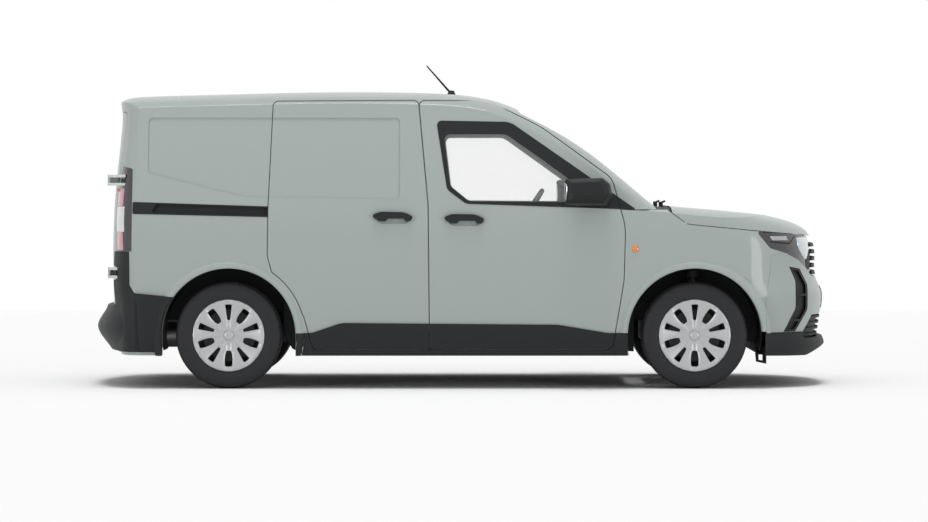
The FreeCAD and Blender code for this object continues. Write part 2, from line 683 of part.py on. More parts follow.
def both(shape):
    return [shape, across(shape)]


FORMS = {}


def flank(depth):
    # Body form set in by a depth at the sides and by the matching depth at the roof, without the rear end
    if ("flank", depth) not in FORMS:
        FORMS["flank", depth] = sweep(depth, depth * ROOF_WALL / WALL)
    return FORMS["flank", depth]


def skin(depth):
    # The same form closed by the rounded rear end
    if ("skin", depth) not in FORMS:
        FORMS["skin", depth] = flank(depth).common(tail(depth, depth * REAR_WALL / WALL))
    return FORMS["skin", depth]


def screen_skin(depth):
    # Body form set in by the same depth all over, for the glass of the windscreen
    if ("screen", depth) not in FORMS:
        FORMS["screen", depth] = sweep(depth, depth)
    return FORMS["screen", depth]


def nose_skin(depth):
    if ("nose", depth) not in FORMS:
        FORMS["nose", depth] = nose(depth, depth, depth)
    return FORMS["nose", depth]


def shell(tool, outer, inner, form=flank):
    # The part of a tool between two depths of the body form
    return tool.common(form(outer)).cut(form(inner))


def keep(name, *shapes):
    solids = []
    for shape in shapes:
        solids += shape.Solids
    body = solids[0] if len(solids) == 1 else Part.makeCompound(solids)
    body.exportStep("parts/" + name + ".step")


# Openings and flares shared by neighbouring panels

def screen_outline():
    # Plan of the windscreen, narrower at the roof than at the scuttle
    return [(SCREEN_TOP_X, -SCREEN_TOP_HALF, SCREEN_CORNER), (SCREEN_BASE_X, -SCREEN_BASE_HALF, 0),
            (SCREEN_BASE_X, SCREEN_BASE_HALF, 0), (SCREEN_TOP_X, SCREEN_TOP_HALF, SCREEN_CORNER)]


def screen_rebate():
    zone = prism(grown(screen_outline(), PANEL_GAP), "z", SCREEN_BASE_Z, HEIGHT + OVERRUN)
    return zone.cut(screen_skin(SCREEN_REBATE)).fuse(prism(grown(screen_outline(), -SCREEN_STEP), "z",
                                                           SCREEN_BASE_Z, HEIGHT + OVERRUN))


def rear_door_outline():
    return [(-REAR_DOOR_HALF, REAR_DOOR_LOW, REAR_DOOR_CORNER),
            (REAR_DOOR_HALF, REAR_DOOR_LOW, REAR_DOOR_CORNER),
            (REAR_DOOR_TOP_HALF, REAR_DOOR_TOP, REAR_DOOR_CORNER),
            (-REAR_DOOR_TOP_HALF, REAR_DOOR_TOP, REAR_DOOR_CORNER)]


def rear_opening():
    # Full size round the door edges, and stepped in behind them
    outer = prism(grown(rear_door_outline(), DOOR_GAP), "x", -LENGTH, REAR_FACE_X + REAR_FRAME_DEPTH)
    outer = outer.cut(skin(DOOR_SEAT))
    inner = prism(grown(rear_door_outline(), -FRAME_STEP), "x", -LENGTH, REAR_FACE_X + REAR_FRAME_DEPTH)
    return outer.fuse(inner)


def side_opening(corners, arc=0.0):
    # A door opening in the side: full size outside, stepped in behind the door
    outer = right_prism(grown(corners, DOOR_GAP), ROOF_HALF).cut(flank(DOOR_SEAT))
    inner = right_prism(grown(corners, -FRAME_STEP), ROOF_HALF)
    if arc:
        outer = outer.cut(round_rear_wheel(arc - DOOR_GAP))
        inner = inner.cut(round_rear_wheel(arc + FRAME_STEP))
    return outer.fuse(inner)


def round_rear_wheel(radius):
    return rod(V(REAR_X, -SIDE_REACH, AXLE_Z), V(REAR_X, -SIDE_ROOT, AXLE_Z), radius)


def arch_cut(x):
    # Wheel opening through the side of the body, open downwards
    return rod(V(x, -SIDE_REACH, AXLE_Z), V(x, -SIDE_ROOT, AXLE_Z), ARCH_R).fuse(
        box(x - ARCH_R, x + ARCH_R, -SIDE_REACH, -SIDE_ROOT, 0, AXLE_Z))


def room_round(x):
    # Clear space round the liner of one wheel arch
    return rod(V(x, -SIDE_REACH, AXLE_Z), V(x, -LINER_HALF + SEAT_CLEARANCE, AXLE_Z),
               ARCH_R + LINER_WALL + SEAT_CLEARANCE)


def flare(x, form):
    # Raised lip round a wheel opening: a ring turned about the axle, kept outside the body form
    profile = [(ARCH_R, FLARE_CREST - FLARE_LIP), (ARCH_R, FLARE_CREST - FLARE_EDGE),
               (ARCH_R + FLARE_EDGE, FLARE_CREST),
               (ARCH_R + FLARE_WIDTH * FLARE_FLAT_SHARE, FLARE_CREST - FLARE_EDGE / 2),
               (ARCH_R + FLARE_WIDTH, FLARE_CREST - FLARE_FALL),
               (ARCH_R + FLARE_WIDTH, FLARE_CREST - FLARE_LIP)]
    points = [V(x + r, -y, AXLE_Z) for r, y in profile]
    ring = Part.Face(Part.makePolygon(points + points[:1])).revolve(V(x, 0, AXLE_Z), V(0, 1, 0), 360)
    upper = box(x - LENGTH, x + LENGTH, -SIDE_REACH, 0, FLARE_LOW_Z, HEIGHT)
    return ring.common(upper).cut(form(FLARE_ROOT))


# Body shell

def windscreen():
    zone = prism(screen_outline(), "z", SCREEN_BASE_Z, HEIGHT + OVERRUN)
    keep("windscreen", shell(zone, SCREEN_DEPTH, SCREEN_DEPTH + SCREEN_GLASS, screen_skin))


def roof():
    plate = box(-LENGTH, ROOF_FRONT_X, -ROOF_HALF, ROOF_HALF, ROOF_LOW_Z, HEIGHT + OVERRUN)
    keep("roof", shell(plate, 0, WALL, skin).cut(screen_rebate()).cut(rear_opening()))


def side_body():
    # What both sides share: pillars, roof rail, sill and rear quarter
    plan = [(-LENGTH, -SIDE_REACH, 0), (SCREEN_BASE_X + OVERRUN, -SIDE_REACH, 0),
            (SCREEN_BASE_X + OVERRUN, -SCREEN_BASE_HALF, 0),
            (SCREEN_BASE_X, -SCREEN_BASE_HALF + SCREEN_STEP, 0),
            (ROOF_FRONT_X, -SCREEN_TOP_HALF + SCREEN_STEP, 0), (ROOF_FRONT_X, -ROOF_HALF, 0),
            (-LENGTH, -ROOF_HALF, 0)]
    zone = right_prism(xz(SIDE_XZR_SHARES)).common(prism(plan, "z", 0, HEIGHT + OVERRUN))
    body = shell(zone, 0, WALL, skin)
    post = box(NOSE_BACK - OVERRUN, POST_FRONT_X, -SIDE_REACH, -SIDE_ROOT, UNDERSIDE_Z, PILLAR_FOOT_Z)
    body = body.fuse(shell(post, DOOR_SEAT, WALL)).fuse(flare(REAR_X, flank).common(zone))
    for tool in (side_opening(xz(DOOR_XZR_SHARES)), screen_rebate(), rear_opening(), arch_cut(REAR_X),
                 room_round(FRONT_X), lamp_zone(PANEL_GAP, 0).cut(skin(LAMP_DEPTH)),
                 rear_bumper_zone(0).cut(skin(BUMPER_WALL)),
                 right_prism(xz(RECESS_XZR_SHARES)).cut(flank(RECESS_DEPTH))):
        body = body.cut(tool)
    return body


def lamp_zone(gap, inset):
    corner = box(-LENGTH, 0, -SIDE_REACH, -REAR_DOOR_HALF - DOOR_GAP - inset, 0, HEIGHT)
    return right_prism(grown(xz(LAMP_XZR_SHARES), gap)).common(corner)


def rear_bumper_zone(gap):
    return prism(grown(xz(BUMPER_REAR_XZR_SHARES), gap), "y", -SIDE_REACH, SIDE_REACH)


def side_panels():
    body = side_body()
    track = right_prism(xz(TRACK_XZR_SHARES)).cut(flank(TRACK_DEPTH))
    keep("side_panel_right", body.cut(side_opening(xz(SLIDER_XZR_SHARES), SLIDER_ARC)).cut(track))
    flap = right_prism(grown(flap_outline(), FLAP_GAP)).cut(flank(FLAP_POCKET))
    keep("side_panel_left", across(body.cut(flap)))


def flap_outline():
    return rectangle(FLAP_X, FLAP_Z, FLAP_X + FLAP_LENGTH, FLAP_Z + FLAP_HEIGHT, FLAP_CORNER)


def fuel_flap():
    # Hinged at its front edge, with a rest pad near its free end that meets the pocket's floor
    x, z = FLAP_X + FLAP_PAD_IN, FLAP_Z + (FLAP_HEIGHT - FLAP_PAD) / 2
    pad = shell(right_prism(rectangle(x, z, x + FLAP_PAD, z + FLAP_PAD, FLAP_GAP)), 0,
                FLAP_POCKET - SEAT_CLEARANCE)
    keep("fuel_flap", across(shell(right_prism(flap_outline()), 0, FLAP_WALL).fuse(pad)))


def sliding_door():
    corners = xz(SLIDER_XZR_SHARES)
    outer = shell(right_prism(corners, DOOR_ROOT), 0, DOOR_SKIN).cut(round_rear_wheel(SLIDER_ARC))
    inner = shell(right_prism(grown(corners, -DOOR_STEP), DOOR_ROOT), DOOR_SKIN, WALL)
    door = outer.fuse(inner.cut(round_rear_wheel(SLIDER_ARC + DOOR_STEP)))
    door = door.cut(right_prism(xz(RECESS_XZR_SHARES)).cut(flank(RECESS_DEPTH)))
    keep("sliding_door", door.cut(cup(*SLIDER_GRIP_SHARE)))


def shifted(corners, x_share, z_share):
    return [(x + LENGTH * x_share, z + HEIGHT * z_share, r) for x, z, r in corners]


def cup(x_share, z_share):
    # Hand recess behind a door grip
    return right_prism(shifted(xz(CUP_XZR_SHARES), x_share, z_share)).cut(flank(CUP_DEPTH))


def grip(x_share, z_share):
    # Door grip: a bar along the door whose two feet reach in to the skin
    corners = shifted(xz(GRIP_XZR_SHARES), x_share, z_share)
    bar = shell(right_prism(corners), -GRIP_PROUD, 0)
    hollow = shell(right_prism(shifted(xz(GRIP_HOLLOW_XZR_SHARES), x_share, z_share)), -GRIP_HOLLOW, 0)
    return bar.cut(hollow)


# Front doors with their glass, frames, grips, mirrors and lower mouldings

def front_door():
    corners = xz(DOOR_XZR_SHARES)
    window = xz(WINDOW_XZR_SHARES)
    outer = shell(right_prism(corners, DOOR_ROOT), 0, DOOR_SKIN)
    outer = outer.cut(right_prism(xz(FRAME_XZR_SHARES)).cut(flank(GLASS_DEPTH)))
    outer = outer.cut(right_prism(grown(window, GLASS_LAP + PANEL_GAP)))
    inner = shell(right_prism(grown(corners, -DOOR_STEP), DOOR_ROOT), DOOR_SKIN, WALL)
    door = outer.fuse(inner.cut(right_prism(window))).cut(cup(0, 0))
    glass = shell(right_prism(grown(window, GLASS_LAP)), GLASS_DEPTH, GLASS_DEPTH + GLASS)
    frame = shell(right_prism(xz(FRAME_XZR_SHARES)), -FRAME_PROUD, GLASS_DEPTH).cut(right_prism(window))
    trims = [frame.common(right_prism(corners)), grip(0, 0), mirror(),
             shell(right_prism(xz(CLADDING_XZR_SHARES)), -CLADDING, 0).common(right_prism(corners))]
    for side, turn in (("right", lambda shape: shape), ("left", across)):
        keep("front_door_" + side, turn(door))
        keep("door_glass_" + side, turn(glass))
        keep("door_trim_" + side, *[turn(trim) for trim in trims])


def mirror():
    # Mirror housing: rounded sections joined outwards from its foot on the window frame
    wires = []
    for y, x0, x1, z0, z1 in MIRROR_SECTIONS:
        outline = within(MIRROR_SHARES, x0, x1 - x0, z0, z1 - z0)
        wires.append(face_of(outline, "y").OuterWire.translated(V(0, -y, 0)))
    return Part.makeLoft(wires, True, False).cut(flank(-FRAME_PROUD))


# Nose: wings, bonnet, lamps, grille, bumper and skirt

def full_prism(corners):
    return prism(corners, "y", -SIDE_REACH, SIDE_REACH)


def bonnet():
    zone = full_prism(xz(BONNET_XZR_SHARES)).common(
        box(BONNET_BACK_X, LENGTH, -SIDE_REACH, SIDE_REACH, 0, HEIGHT))
    keep("bonnet", shell(zone, 0, BONNET_WALL, nose_skin))


def front_arch_cut():
    return rod(V(FRONT_X, -SIDE_REACH, AXLE_Z), V(FRONT_X, -SIDE_ROOT, AXLE_Z), ARCH_R).fuse(
        box(FRONT_X - ARCH_R, FRONT_X + ARCH_FRONT, -SIDE_REACH, -SIDE_ROOT, 0, AXLE_Z + ARCH_FRONT_RISE))


def wings():
    zone = right_prism(xz(WING_XZR_SHARES))
    wing = shell(zone, 0, WING_WALL, nose_skin).fuse(flare(FRONT_X, nose_skin).common(zone))
    wing = wing.cut(right_prism(grown(xz(BONNET_XZR_SHARES), BONNET_GAP)))
    wing = wing.cut(right_prism(grown(xz(DOOR_XZR_SHARES), DOOR_GAP)))
    wing = wing.cut(right_prism(grown(xz(HEADLAMP_XZR_SHARES), PANEL_GAP)))
    wing = wing.cut(right_prism(grown(xz(BUMPER_XZR_SHARES), PANEL_GAP))).cut(front_arch_cut())
    wing = wing.cut(right_prism(grown(xz(CLADDING_XZR_SHARES), PANEL_GAP)))
    wing = wing.cut(box(0, BONNET_BACK_X + BONNET_GAP, -SCUTTLE_HALF - PANEL_GAP, 0, 0, HEIGHT))
    wing = wing.cut(box(0, POST_FRONT_X + PANEL_GAP, -POST_HALF, 0, 0, HEIGHT))
    keep("front_wings", *both(wing))


def headlamps():
    zone = prism(xz(HEADLAMP_XZR_SHARES), "y", -SIDE_REACH, -GRILLE_HALF - PANEL_GAP)
    keep("headlamps", *both(shell(zone, PANEL_GAP, LAMP_HOUSING, nose_skin)))


def slats(low, high, count, height, half, proud, depth):
    # Level bars across the nose, with upright webs between them
    bars = []
    pitch = (high - low) / count
    for k in range(count):
        z = low + pitch * (k + 0.5)
        bars.append(shell(box(NOSE_ROOT, LENGTH, -half, half, z - height / 2, z + height / 2), -proud, depth,
                          nose_skin))
    web = box(NOSE_ROOT, LENGTH, -half, half, low, high)
    back = shell(web, depth - GRILLE_BACK, depth, nose_skin)
    return fused([back] + bars)


def grille():
    low, high = GRILLE_LOW_Z, GRILLE_TOP_Z
    half = GRILLE_HALF + PANEL_GAP - SEAT_CLEARANCE
    panel = slats(low, high, GRILLE_SLATS, GRILLE_SLAT_HEIGHT, half, GRILLE_PROUD, GRILLE_DEPTH)
    keep("grille", panel.cut(full_prism(grown(xz(BONNET_XZR_SHARES), BONNET_GAP))))


def front_bumper():
    body = shell(full_prism(xz(BUMPER_XZR_SHARES)), 0, BUMPER_WALL, nose_skin)
    right = right_prism(xz(BUMPER_XZR_SHARES))
    body = body.fuse(flare(FRONT_X, nose_skin).common(right)).fuse(
        across(flare(FRONT_X, nose_skin).common(right)))
    lamp = grown(xz(HEADLAMP_XZR_SHARES), PANEL_GAP)
    body = body.cut(full_prism(lamp))
    body = body.cut(box(NOSE_ROOT, LENGTH, -GRILLE_HALF - PANEL_GAP, GRILLE_HALF + PANEL_GAP,
                        GRILLE_LOW_Z - PANEL_GAP, HEIGHT))
    body = body.cut(intake_zone(0))
    pocket = right_prism(grown(xz(VENT_XZR_SHARES), PANEL_GAP)).cut(nose_skin(VENT_WALL))
    for tool in both(pocket.fuse(front_arch_cut())):
        body = body.cut(tool)
    keep("front_bumper", body)


def bumper_vents():
    zone = right_prism(xz(VENT_XZR_SHARES))
    vent = shell(zone, 0, VENT_WALL, nose_skin)
    inner = right_prism(grown(xz(VENT_XZR_SHARES), -VENT_RIM)).cut(nose_skin(VENT_DEPTH))
    webs = [box(0, LENGTH, -SIDE_REACH, 0, z - VENT_RIM / 2, z + VENT_RIM / 2) for z in
            (HEIGHT * share for share in VENT_WEB_SHARES)]
    keep("bumper_vents", *both(vent.cut(inner.cut(webs[0]).cut(webs[1]))))


def intake_zone(inset):
    # The low opening in the nose, wider at its foot
    return prism(grown(yz(INTAKE_YZR_SHARES), -inset), "x", NOSE_ROOT, LENGTH)


def intake_grille():
    bars = slats(INTAKE_LOW_Z, INTAKE_TOP_Z, INTAKE_SLATS, INTAKE_SLAT_HEIGHT, SIDE_ROOT * 2, 0, BUMPER_WALL)
    keep("intake_grille", bars.common(intake_zone(SEAT_CLEARANCE)))


def skirt_form(depth):
    return drum(SKIRT_ZX_SHARES, NOSE_ROOT, NOSE_BACK, depth, depth, SKIRT_SPREAD, NOSE_POWER_SHARES)


def front_skirt():
    zone = full_prism(xz(SKIRT_XZR_SHARES))
    inside = skirt_form(BUMPER_WALL).common(box(0, LENGTH, -SIDE_REACH, SIDE_REACH, SKIRT_SHELF_Z, HEIGHT))
    skirt = zone.common(skirt_form(0)).cut(inside).cut(intake_zone(0))
    for tool in both(front_arch_cut()):
        skirt = skirt.cut(tool)
    keep("front_skirt", skirt)


# Rear end: doors, bumper, lamps and sill

def rear_doors():
    half = [(-REAR_DOOR_HALF, REAR_DOOR_LOW, REAR_DOOR_CORNER), (-DOOR_GAP / 2, REAR_DOOR_LOW, 0),
            (-DOOR_GAP / 2, REAR_DOOR_TOP, 0), (-REAR_DOOR_TOP_HALF, REAR_DOOR_TOP, REAR_DOOR_CORNER)]
    outer = prism(half, "x", -LENGTH, REAR_FACE_X + REAR_FRAME_DEPTH)
    outer = outer.common(skin(0)).cut(skin(DOOR_SKIN))
    inner_zone = prism(grown(half, -DOOR_STEP), "x", -LENGTH, REAR_FACE_X + REAR_FRAME_DEPTH)
    door = outer.fuse(inner_zone.common(skin(DOOR_SKIN)).cut(skin(WALL)))
    leaves = [hinge_leaf(z - REAR_HINGE_R * 2, z + REAR_HINGE_R * 2).cut(skin(DOOR_SKIN))
              for z in REAR_HINGE_HEIGHTS]
    right = fused([door] + leaves)
    keep("rear_door_right", right)
    keep("rear_door_left", across(right))


def hinge_leaf(low, high):
    # Hinge strap from the pin round to the outside of the door
    x, y = REAR_HINGE_X, -REAR_HINGE_HALF
    bend, span, wall = REAR_HINGE_BEND, REAR_HINGE_SPAN, REAR_HINGE_WALL
    corners = [(x - wall, y, 0), (x + wall, y, 0), (x + wall * 2, y + bend - wall, wall),
               (x + wall * 3, y + bend, 0),
               (x + span / 2, y + bend + wall, 0), (x + span / 2, y + span, 0), (x + wall, y + span, wall),
               (x - wall, y + bend, wall)]
    pin = V(x, y, low)
    return prism(corners, "z", low, high).fuse(rod(pin, pin + V(0, 0, high - low), REAR_HINGE_R))


def rear_hinges():
    # Fixed knuckles above and below each strap, seated on the body corner
    x, y = REAR_HINGE_X, -REAR_HINGE_HALF
    wall = REAR_HINGE_WALL
    foot = [(x - wall, y + wall, 0), (x - wall, y - wall, wall),
            (x + REAR_HINGE_SPAN, y - REAR_HINGE_BEND, 0),
            (x + REAR_HINGE_SPAN, y + wall * 2, 0), (x + wall * 2, y + wall, 0)]
    solids = []
    for middle in REAR_HINGE_HEIGHTS:
        for side in (-1, 1):
            z = middle + side * REAR_HINGE_R * 3
            low, high = z - REAR_HINGE_R + SEAT_CLEARANCE, z + REAR_HINGE_R - SEAT_CLEARANCE
            knuckle_ring = rod(V(x, y, low), V(x, y, high), REAR_HINGE_R)
            solids += both(prism(foot, "z", low, high).fuse(knuckle_ring).cut(skin(0)))
    keep("rear_hinges", *solids)


def rear_bumper():
    form = drum(BUMPER_ZX_SHARES, REAR_ROOT, -REAR_ROOT, 0, 0, BUMPER_SPREAD, BUMPER_POWER_SHARES)
    inside = drum(BUMPER_ZX_SHARES, REAR_ROOT, -REAR_ROOT, BUMPER_WALL, BUMPER_WALL, BUMPER_SPREAD,
                  BUMPER_POWER_SHARES)
    inside = inside.common(box(-LENGTH, 0, -SIDE_REACH, SIDE_REACH, BUMPER_SHELF_Z,
                               BUMPER_TOP_Z - BUMPER_WALL))
    low = box(-LENGTH, 0, -SIDE_REACH, SIDE_REACH, BUMPER_BASE_Z, BUMPER_TOP_Z)
    corner = box(-LENGTH, 0, -SIDE_REACH, -REAR_DOOR_HALF - DOOR_GAP, BUMPER_BASE_Z, HEIGHT)
    zone = rear_bumper_zone(-PANEL_GAP)
    right = zone.common(corner).common(form.fuse(skin(0))).cut(skin(BUMPER_WALL))
    bar = zone.common(low).common(form).cut(inside).cut(skin(BUMPER_WALL))
    edge = flare(REAR_X, flank).common(right_prism(grown(xz(BUMPER_REAR_XZR_SHARES), -PANEL_GAP)))
    right = right.fuse(edge)
    body = fused([bar, right, across(right)])
    notch = box(-LENGTH, REAR_HINGE_X + REAR_HINGE_SPAN + SEAT_CLEARANCE,
                -REAR_HINGE_HALF - REAR_HINGE_BEND - SEAT_CLEARANCE,
                -REAR_DOOR_HALF, REAR_HINGE_HEIGHTS[0] - REAR_HINGE_R * 5,
                REAR_HINGE_HEIGHTS[0] + REAR_HINGE_R * 5)
    for tool in both(arch_cut(REAR_X).fuse(notch.cut(skin(0)))):
        body = body.cut(tool)
    keep("rear_bumper", body)


def tail_lamps():
    keep("tail_lamps", *both(lamp_zone(0, PANEL_GAP).common(skin(0)).cut(skin(LAMP_DEPTH))))


# Mouldings on the body

def side_mouldings():
    zone = right_prism(xz(CLADDING_XZR_SHARES))
    ring = shell(zone, -CLADDING, 0)
    door = right_prism(grown(xz(DOOR_XZR_SHARES), DOOR_GAP))
    slider = right_prism(grown(xz(SLIDER_XZR_SHARES), DOOR_GAP)).cut(round_rear_wheel(SLIDER_ARC - DOOR_GAP))
    before = shell(zone.common(box(POST_BACK_X, LENGTH, -SIDE_REACH, 0, 0, HEIGHT)), -CLADDING, WING_WALL)
    left = ring.fuse(before).cut(door).cut(front_arch_cut()).cut(round_rear_wheel(SLIDER_ARC - DOOR_GAP))
    right = left.cut(slider)
    keep("side_mouldings", right, across(left))
    moving = ring.common(right_prism(xz(SLIDER_XZR_SHARES)).cut(round_rear_wheel(SLIDER_ARC)))
    keep("sliding_door_trim", moving, grip(*SLIDER_GRIP_SHARE))


def door_track():
    zone = shell(right_prism(grown(xz(TRACK_XZR_SHARES), -PANEL_GAP)), -TRACK_PROUD, TRACK_DEPTH)
    channel = right_prism(xz(CHANNEL_XZR_SHARES)).cut(flank(TRACK_DEPTH - TRACK_WALL))
    keep("door_track", zone.cut(channel).cut(side_opening(xz(SLIDER_XZR_SHARES), SLIDER_ARC)))


def corner_trims():
    frame = shell(right_prism(xz(FRAME_XZR_SHARES)), -FRAME_PROUD, 0)
    keep("corner_trims", *both(frame.cut(right_prism(grown(xz(DOOR_XZR_SHARES), DOOR_GAP)))))


# Wheels and tyres

def turned(profile, x, side, z=AXLE_Z):
    # Ring or disc turned about an axle: profile points are radius and distance out from the wheel middle
    y = side * TRACK_HALF
    points = [V(x, y + side * out, z + r) for r, out in profile]
    solid = Part.Face(Part.makePolygon(points + points[:1])).revolve(V(x, y, z), V(0, 1, 0), 360)
    return solid


def tyre(x, side):
    half = [(BEAD_R, BEAD_WIDTH / 2), (SIDEWALL_R, SIDEWALL_HALF), (SHOULDER_R, TREAD_HALF),
            (TYRE_R, TREAD_SHOULDER)]
    profile = [(r, out) for r, out in half] + [(r, -out) for r, out in reversed(half)]
    return turned(profile, x, side)


def wheel(x, side):
    # Rim, web, brake disc and hub turned as one, with a dished cover of ten slots on the outer face
    back, dish = COVER_FACE - COVER_WALL, COVER_FACE - COVER_DISH
    cap = dish + CAP_RISE
    body = turned([(0, DISC_IN), (DISC_R, DISC_IN), (DISC_R, DISC_IN + DISC_WALL),
                   (HUB_R, DISC_IN + DISC_WALL),
                   (HUB_R, WEB_IN), (RIM_BED_R, WEB_IN), (RIM_BED_R, -RIM_HALF), (BEAD_R - FIT, -RIM_HALF),
                   (BEAD_R - FIT, back), (COVER_R, back), (COVER_R, COVER_FACE),
                   (COVER_EDGE_R, COVER_FACE + COVER_ROUND),
                   (COVER_RING_R, COVER_FACE + COVER_ROUND / 2), (DISH_R, dish), (CAP_R, dish + COVER_ROUND),
                   (CAP_FLAT_R, cap), (0, cap + COVER_ROUND / 2)], x, side)
    hollow = turned([(HUB_R, WEB_IN + COVER_WALL), (RIM_BED_R, WEB_IN + COVER_WALL),
                     (RIM_BED_R, back - COVER_ROUND),
                     (DISH_R, dish - COVER_WALL), (HUB_R, dish - COVER_WALL)], x, side)
    slots = []
    y = side * TRACK_HALF
    near, far = sorted((y + side * (WEB_IN + COVER_WALL), y + side * OVERRUN))
    for k in range(COVER_SLOTS):
        half = [(r * span, AXLE_Z + r)
                for r, span in zip((SLOT_IN_R, SLOT_MID_R, SLOT_OUT_R), SLOT_SHARES[k % 2])]
        corners = ([(x + h, z, SLOT_CORNER) for h, z in half]
                   + [(x - h, z, SLOT_CORNER) for h, z in reversed(half)])
        slot = prism(corners, "y", near, far)
        slot.rotate(V(x, y, AXLE_Z), V(0, 1, 0), 360 * k / COVER_SLOTS)
        slots.append(slot)
    return body.cut(hollow).cut(slots)


def wheels():
    for end, x in (("front", FRONT_X), ("rear", REAR_X)):
        for name, side in (("right", -1), ("left", 1)):
            keep("tyre_" + end + "_" + name, tyre(x, side))
            keep("wheel_" + end + "_" + name, wheel(x, side))


# Suspension and steering

def kingpin_at(z):
    # Point of the inclined right kingpin line at one height
    slope = (KINGPIN_LOW_HALF - KINGPIN_TOP_HALF) / (KINGPIN_TOP_Z - KINGPIN_LOW_Z)
    return V(FRONT_X, -KINGPIN_LOW_HALF + (z - KINGPIN_LOW_Z) * slope, z)


def knuckle():
    # Upright with its hub flange, strut and spring, on a stud square to the kingpin line it turns about
    upright = box(FRONT_X - KNUCKLE_HALF, FRONT_X + KNUCKLE_HALF, -KNUCKLE_Y - KNUCKLE_WIDTH, -KNUCKLE_Y,
                  ARM_TOP_Z + KNUCKLE_RISE, STRUT_LOW_Z)
    hub_face = V(FRONT_X, -TRACK_HALF - DISC_IN + SEAT_CLEARANCE, AXLE_Z)
    flange = rod(V(FRONT_X, -KNUCKLE_Y, AXLE_Z), hub_face, HUB_R)
    foot_z = ARM_TOP_Z + KNUCKLE_RISE / 4
    stud = rod(kingpin_at(foot_z + SEAT_CLEARANCE), kingpin_at(foot_z + KNUCKLE_RISE * 2), BALL_R)
    strut = rod(kingpin_at(STRUT_LOW_Z - STRUT_R * 2), kingpin_at(STRUT_TOP_Z), STRUT_R)
    spring = rod(kingpin_at(SPRING_LOW_Z), kingpin_at(STRUT_TOP_Z - STRUT_R / 2), SPRING_R)
    return fused([upright, flange, stud, strut, spring])


def knuckles():
    for name, shape in zip(("right", "left"), both(knuckle())):
        keep("knuckle_" + name, shape)


def front_subframe():
    # Cradle under the engine, hung from the rails on four legs, with a lower arm out to each knuckle
    cradle = box(FRONT_X - SUBFRAME_LENGTH / 2, FRONT_X + SUBFRAME_LENGTH / 2, -SUBFRAME_HALF, SUBFRAME_HALF,
                 ARM_TOP_Z - ARM_HEIGHT, ARM_TOP_Z + ARM_HEIGHT)
    window = box(FRONT_X - SUBFRAME_LENGTH / 4, FRONT_X + SUBFRAME_LENGTH / 4,
                 -SUBFRAME_HALF / 2, SUBFRAME_HALF / 2, 0, HEIGHT)
    end_y = -KINGPIN_LOW_HALF - BALL_R / 2
    arm = prism([(FRONT_X - ARM_WIDTH / 2, end_y, ARM_WIDTH * 0.4),
                 (FRONT_X + ARM_WIDTH / 2, end_y, ARM_WIDTH * 0.4),
                 (FRONT_X + ARM_WIDTH / 2, -LINER_HALF, 0), (FRONT_X + ARM_ROOT_HALF, -SUBFRAME_HALF, 0),
                 (FRONT_X - ARM_ROOT_HALF, -SUBFRAME_HALF, 0), (FRONT_X - ARM_WIDTH / 2, -LINER_HALF, 0)],
                "z", ARM_TOP_Z - ARM_HEIGHT, ARM_TOP_Z)
    boss = rod(kingpin_at(ARM_TOP_Z - KNUCKLE_RISE / 4), kingpin_at(ARM_TOP_Z + KNUCKLE_RISE / 4), BALL_R)
    pieces = [cradle.cut(window)] + both(arm.fuse(boss))
    for end in (-1, 1):
        x = FRONT_X + end * (SUBFRAME_LENGTH - LEG_FOOT) / 2
        leg = prism([(x - LEG_FOOT / 2, ARM_TOP_Z, 0), (x + LEG_FOOT / 2, ARM_TOP_Z, 0),
                     (x + LEG_TOP / 2, FRONT_RAIL_Z - SEAT_CLEARANCE, 0),
                     (x - LEG_TOP / 2, FRONT_RAIL_Z - SEAT_CLEARANCE, 0)],
                    "y", -SUBFRAME_HALF, LEG_WALL - SUBFRAME_HALF)
        pieces += both(leg)
    keep("front_subframe", fused(pieces))


def rear_axle():
    # Twist beam with trailing arms, hub drums and spring seats
    x = REAR_X + BEAM_LEAD
    beam = rod(V(x, -TRAIL_HALF - TRAIL_WIDTH, BEAM_Z), V(x, TRAIL_HALF + TRAIL_WIDTH, BEAM_Z), BEAM_R)
    pieces = [beam]
    arm = prism([(REAR_X - HUB_R, AXLE_Z + HUB_R, HUB_R / 2), (REAR_X - HUB_R, AXLE_Z - HUB_R, HUB_R / 2),
                 (x, BEAM_Z - BEAM_R, BEAM_R / 2), (x + BEAM_LEAD, BEAM_Z, BEAM_R / 2),
                 (x + BEAM_LEAD, BEAM_Z + BEAM_R * 2, BEAM_R / 2), (x, BEAM_Z + BEAM_R, 0)],
                "y", -TRAIL_HALF - TRAIL_WIDTH, -TRAIL_HALF)
    arm = arm.cut(box(FLOOR_FRONT_REAR_X, LENGTH, -SIDE_REACH, 0, 0, HEIGHT))
    axle = rod(V(REAR_X, -TRAIL_HALF, AXLE_Z), V(REAR_X, -TRACK_HALF + HUB_R, AXLE_Z), HUB_R)
    drum_brake = rod(V(REAR_X, -TRACK_HALF - DISC_IN + DRUM_WIDTH, AXLE_Z),
                     V(REAR_X, -TRACK_HALF - DISC_IN + SEAT_CLEARANCE, AXLE_Z), DRUM_R)
    seat = box(REAR_X + SPRING_LEAD - REAR_SPRING_R, x, -SPRING_HALF - REAR_SPRING_R,
               -SPRING_HALF + REAR_SPRING_R,
               BEAM_Z - BEAM_R / 2, BEAM_Z + BEAM_R / 2)
    spring = rod(V(REAR_X + SPRING_LEAD, -SPRING_HALF, BEAM_Z),
                 V(REAR_X + SPRING_LEAD, -SPRING_HALF, RAIL_LOW_Z - SEAT_CLEARANCE), REAR_SPRING_R)
    for piece in (arm, axle, drum_brake, seat, spring):
        pieces += both(piece)
    keep("rear_axle", fused(pieces))


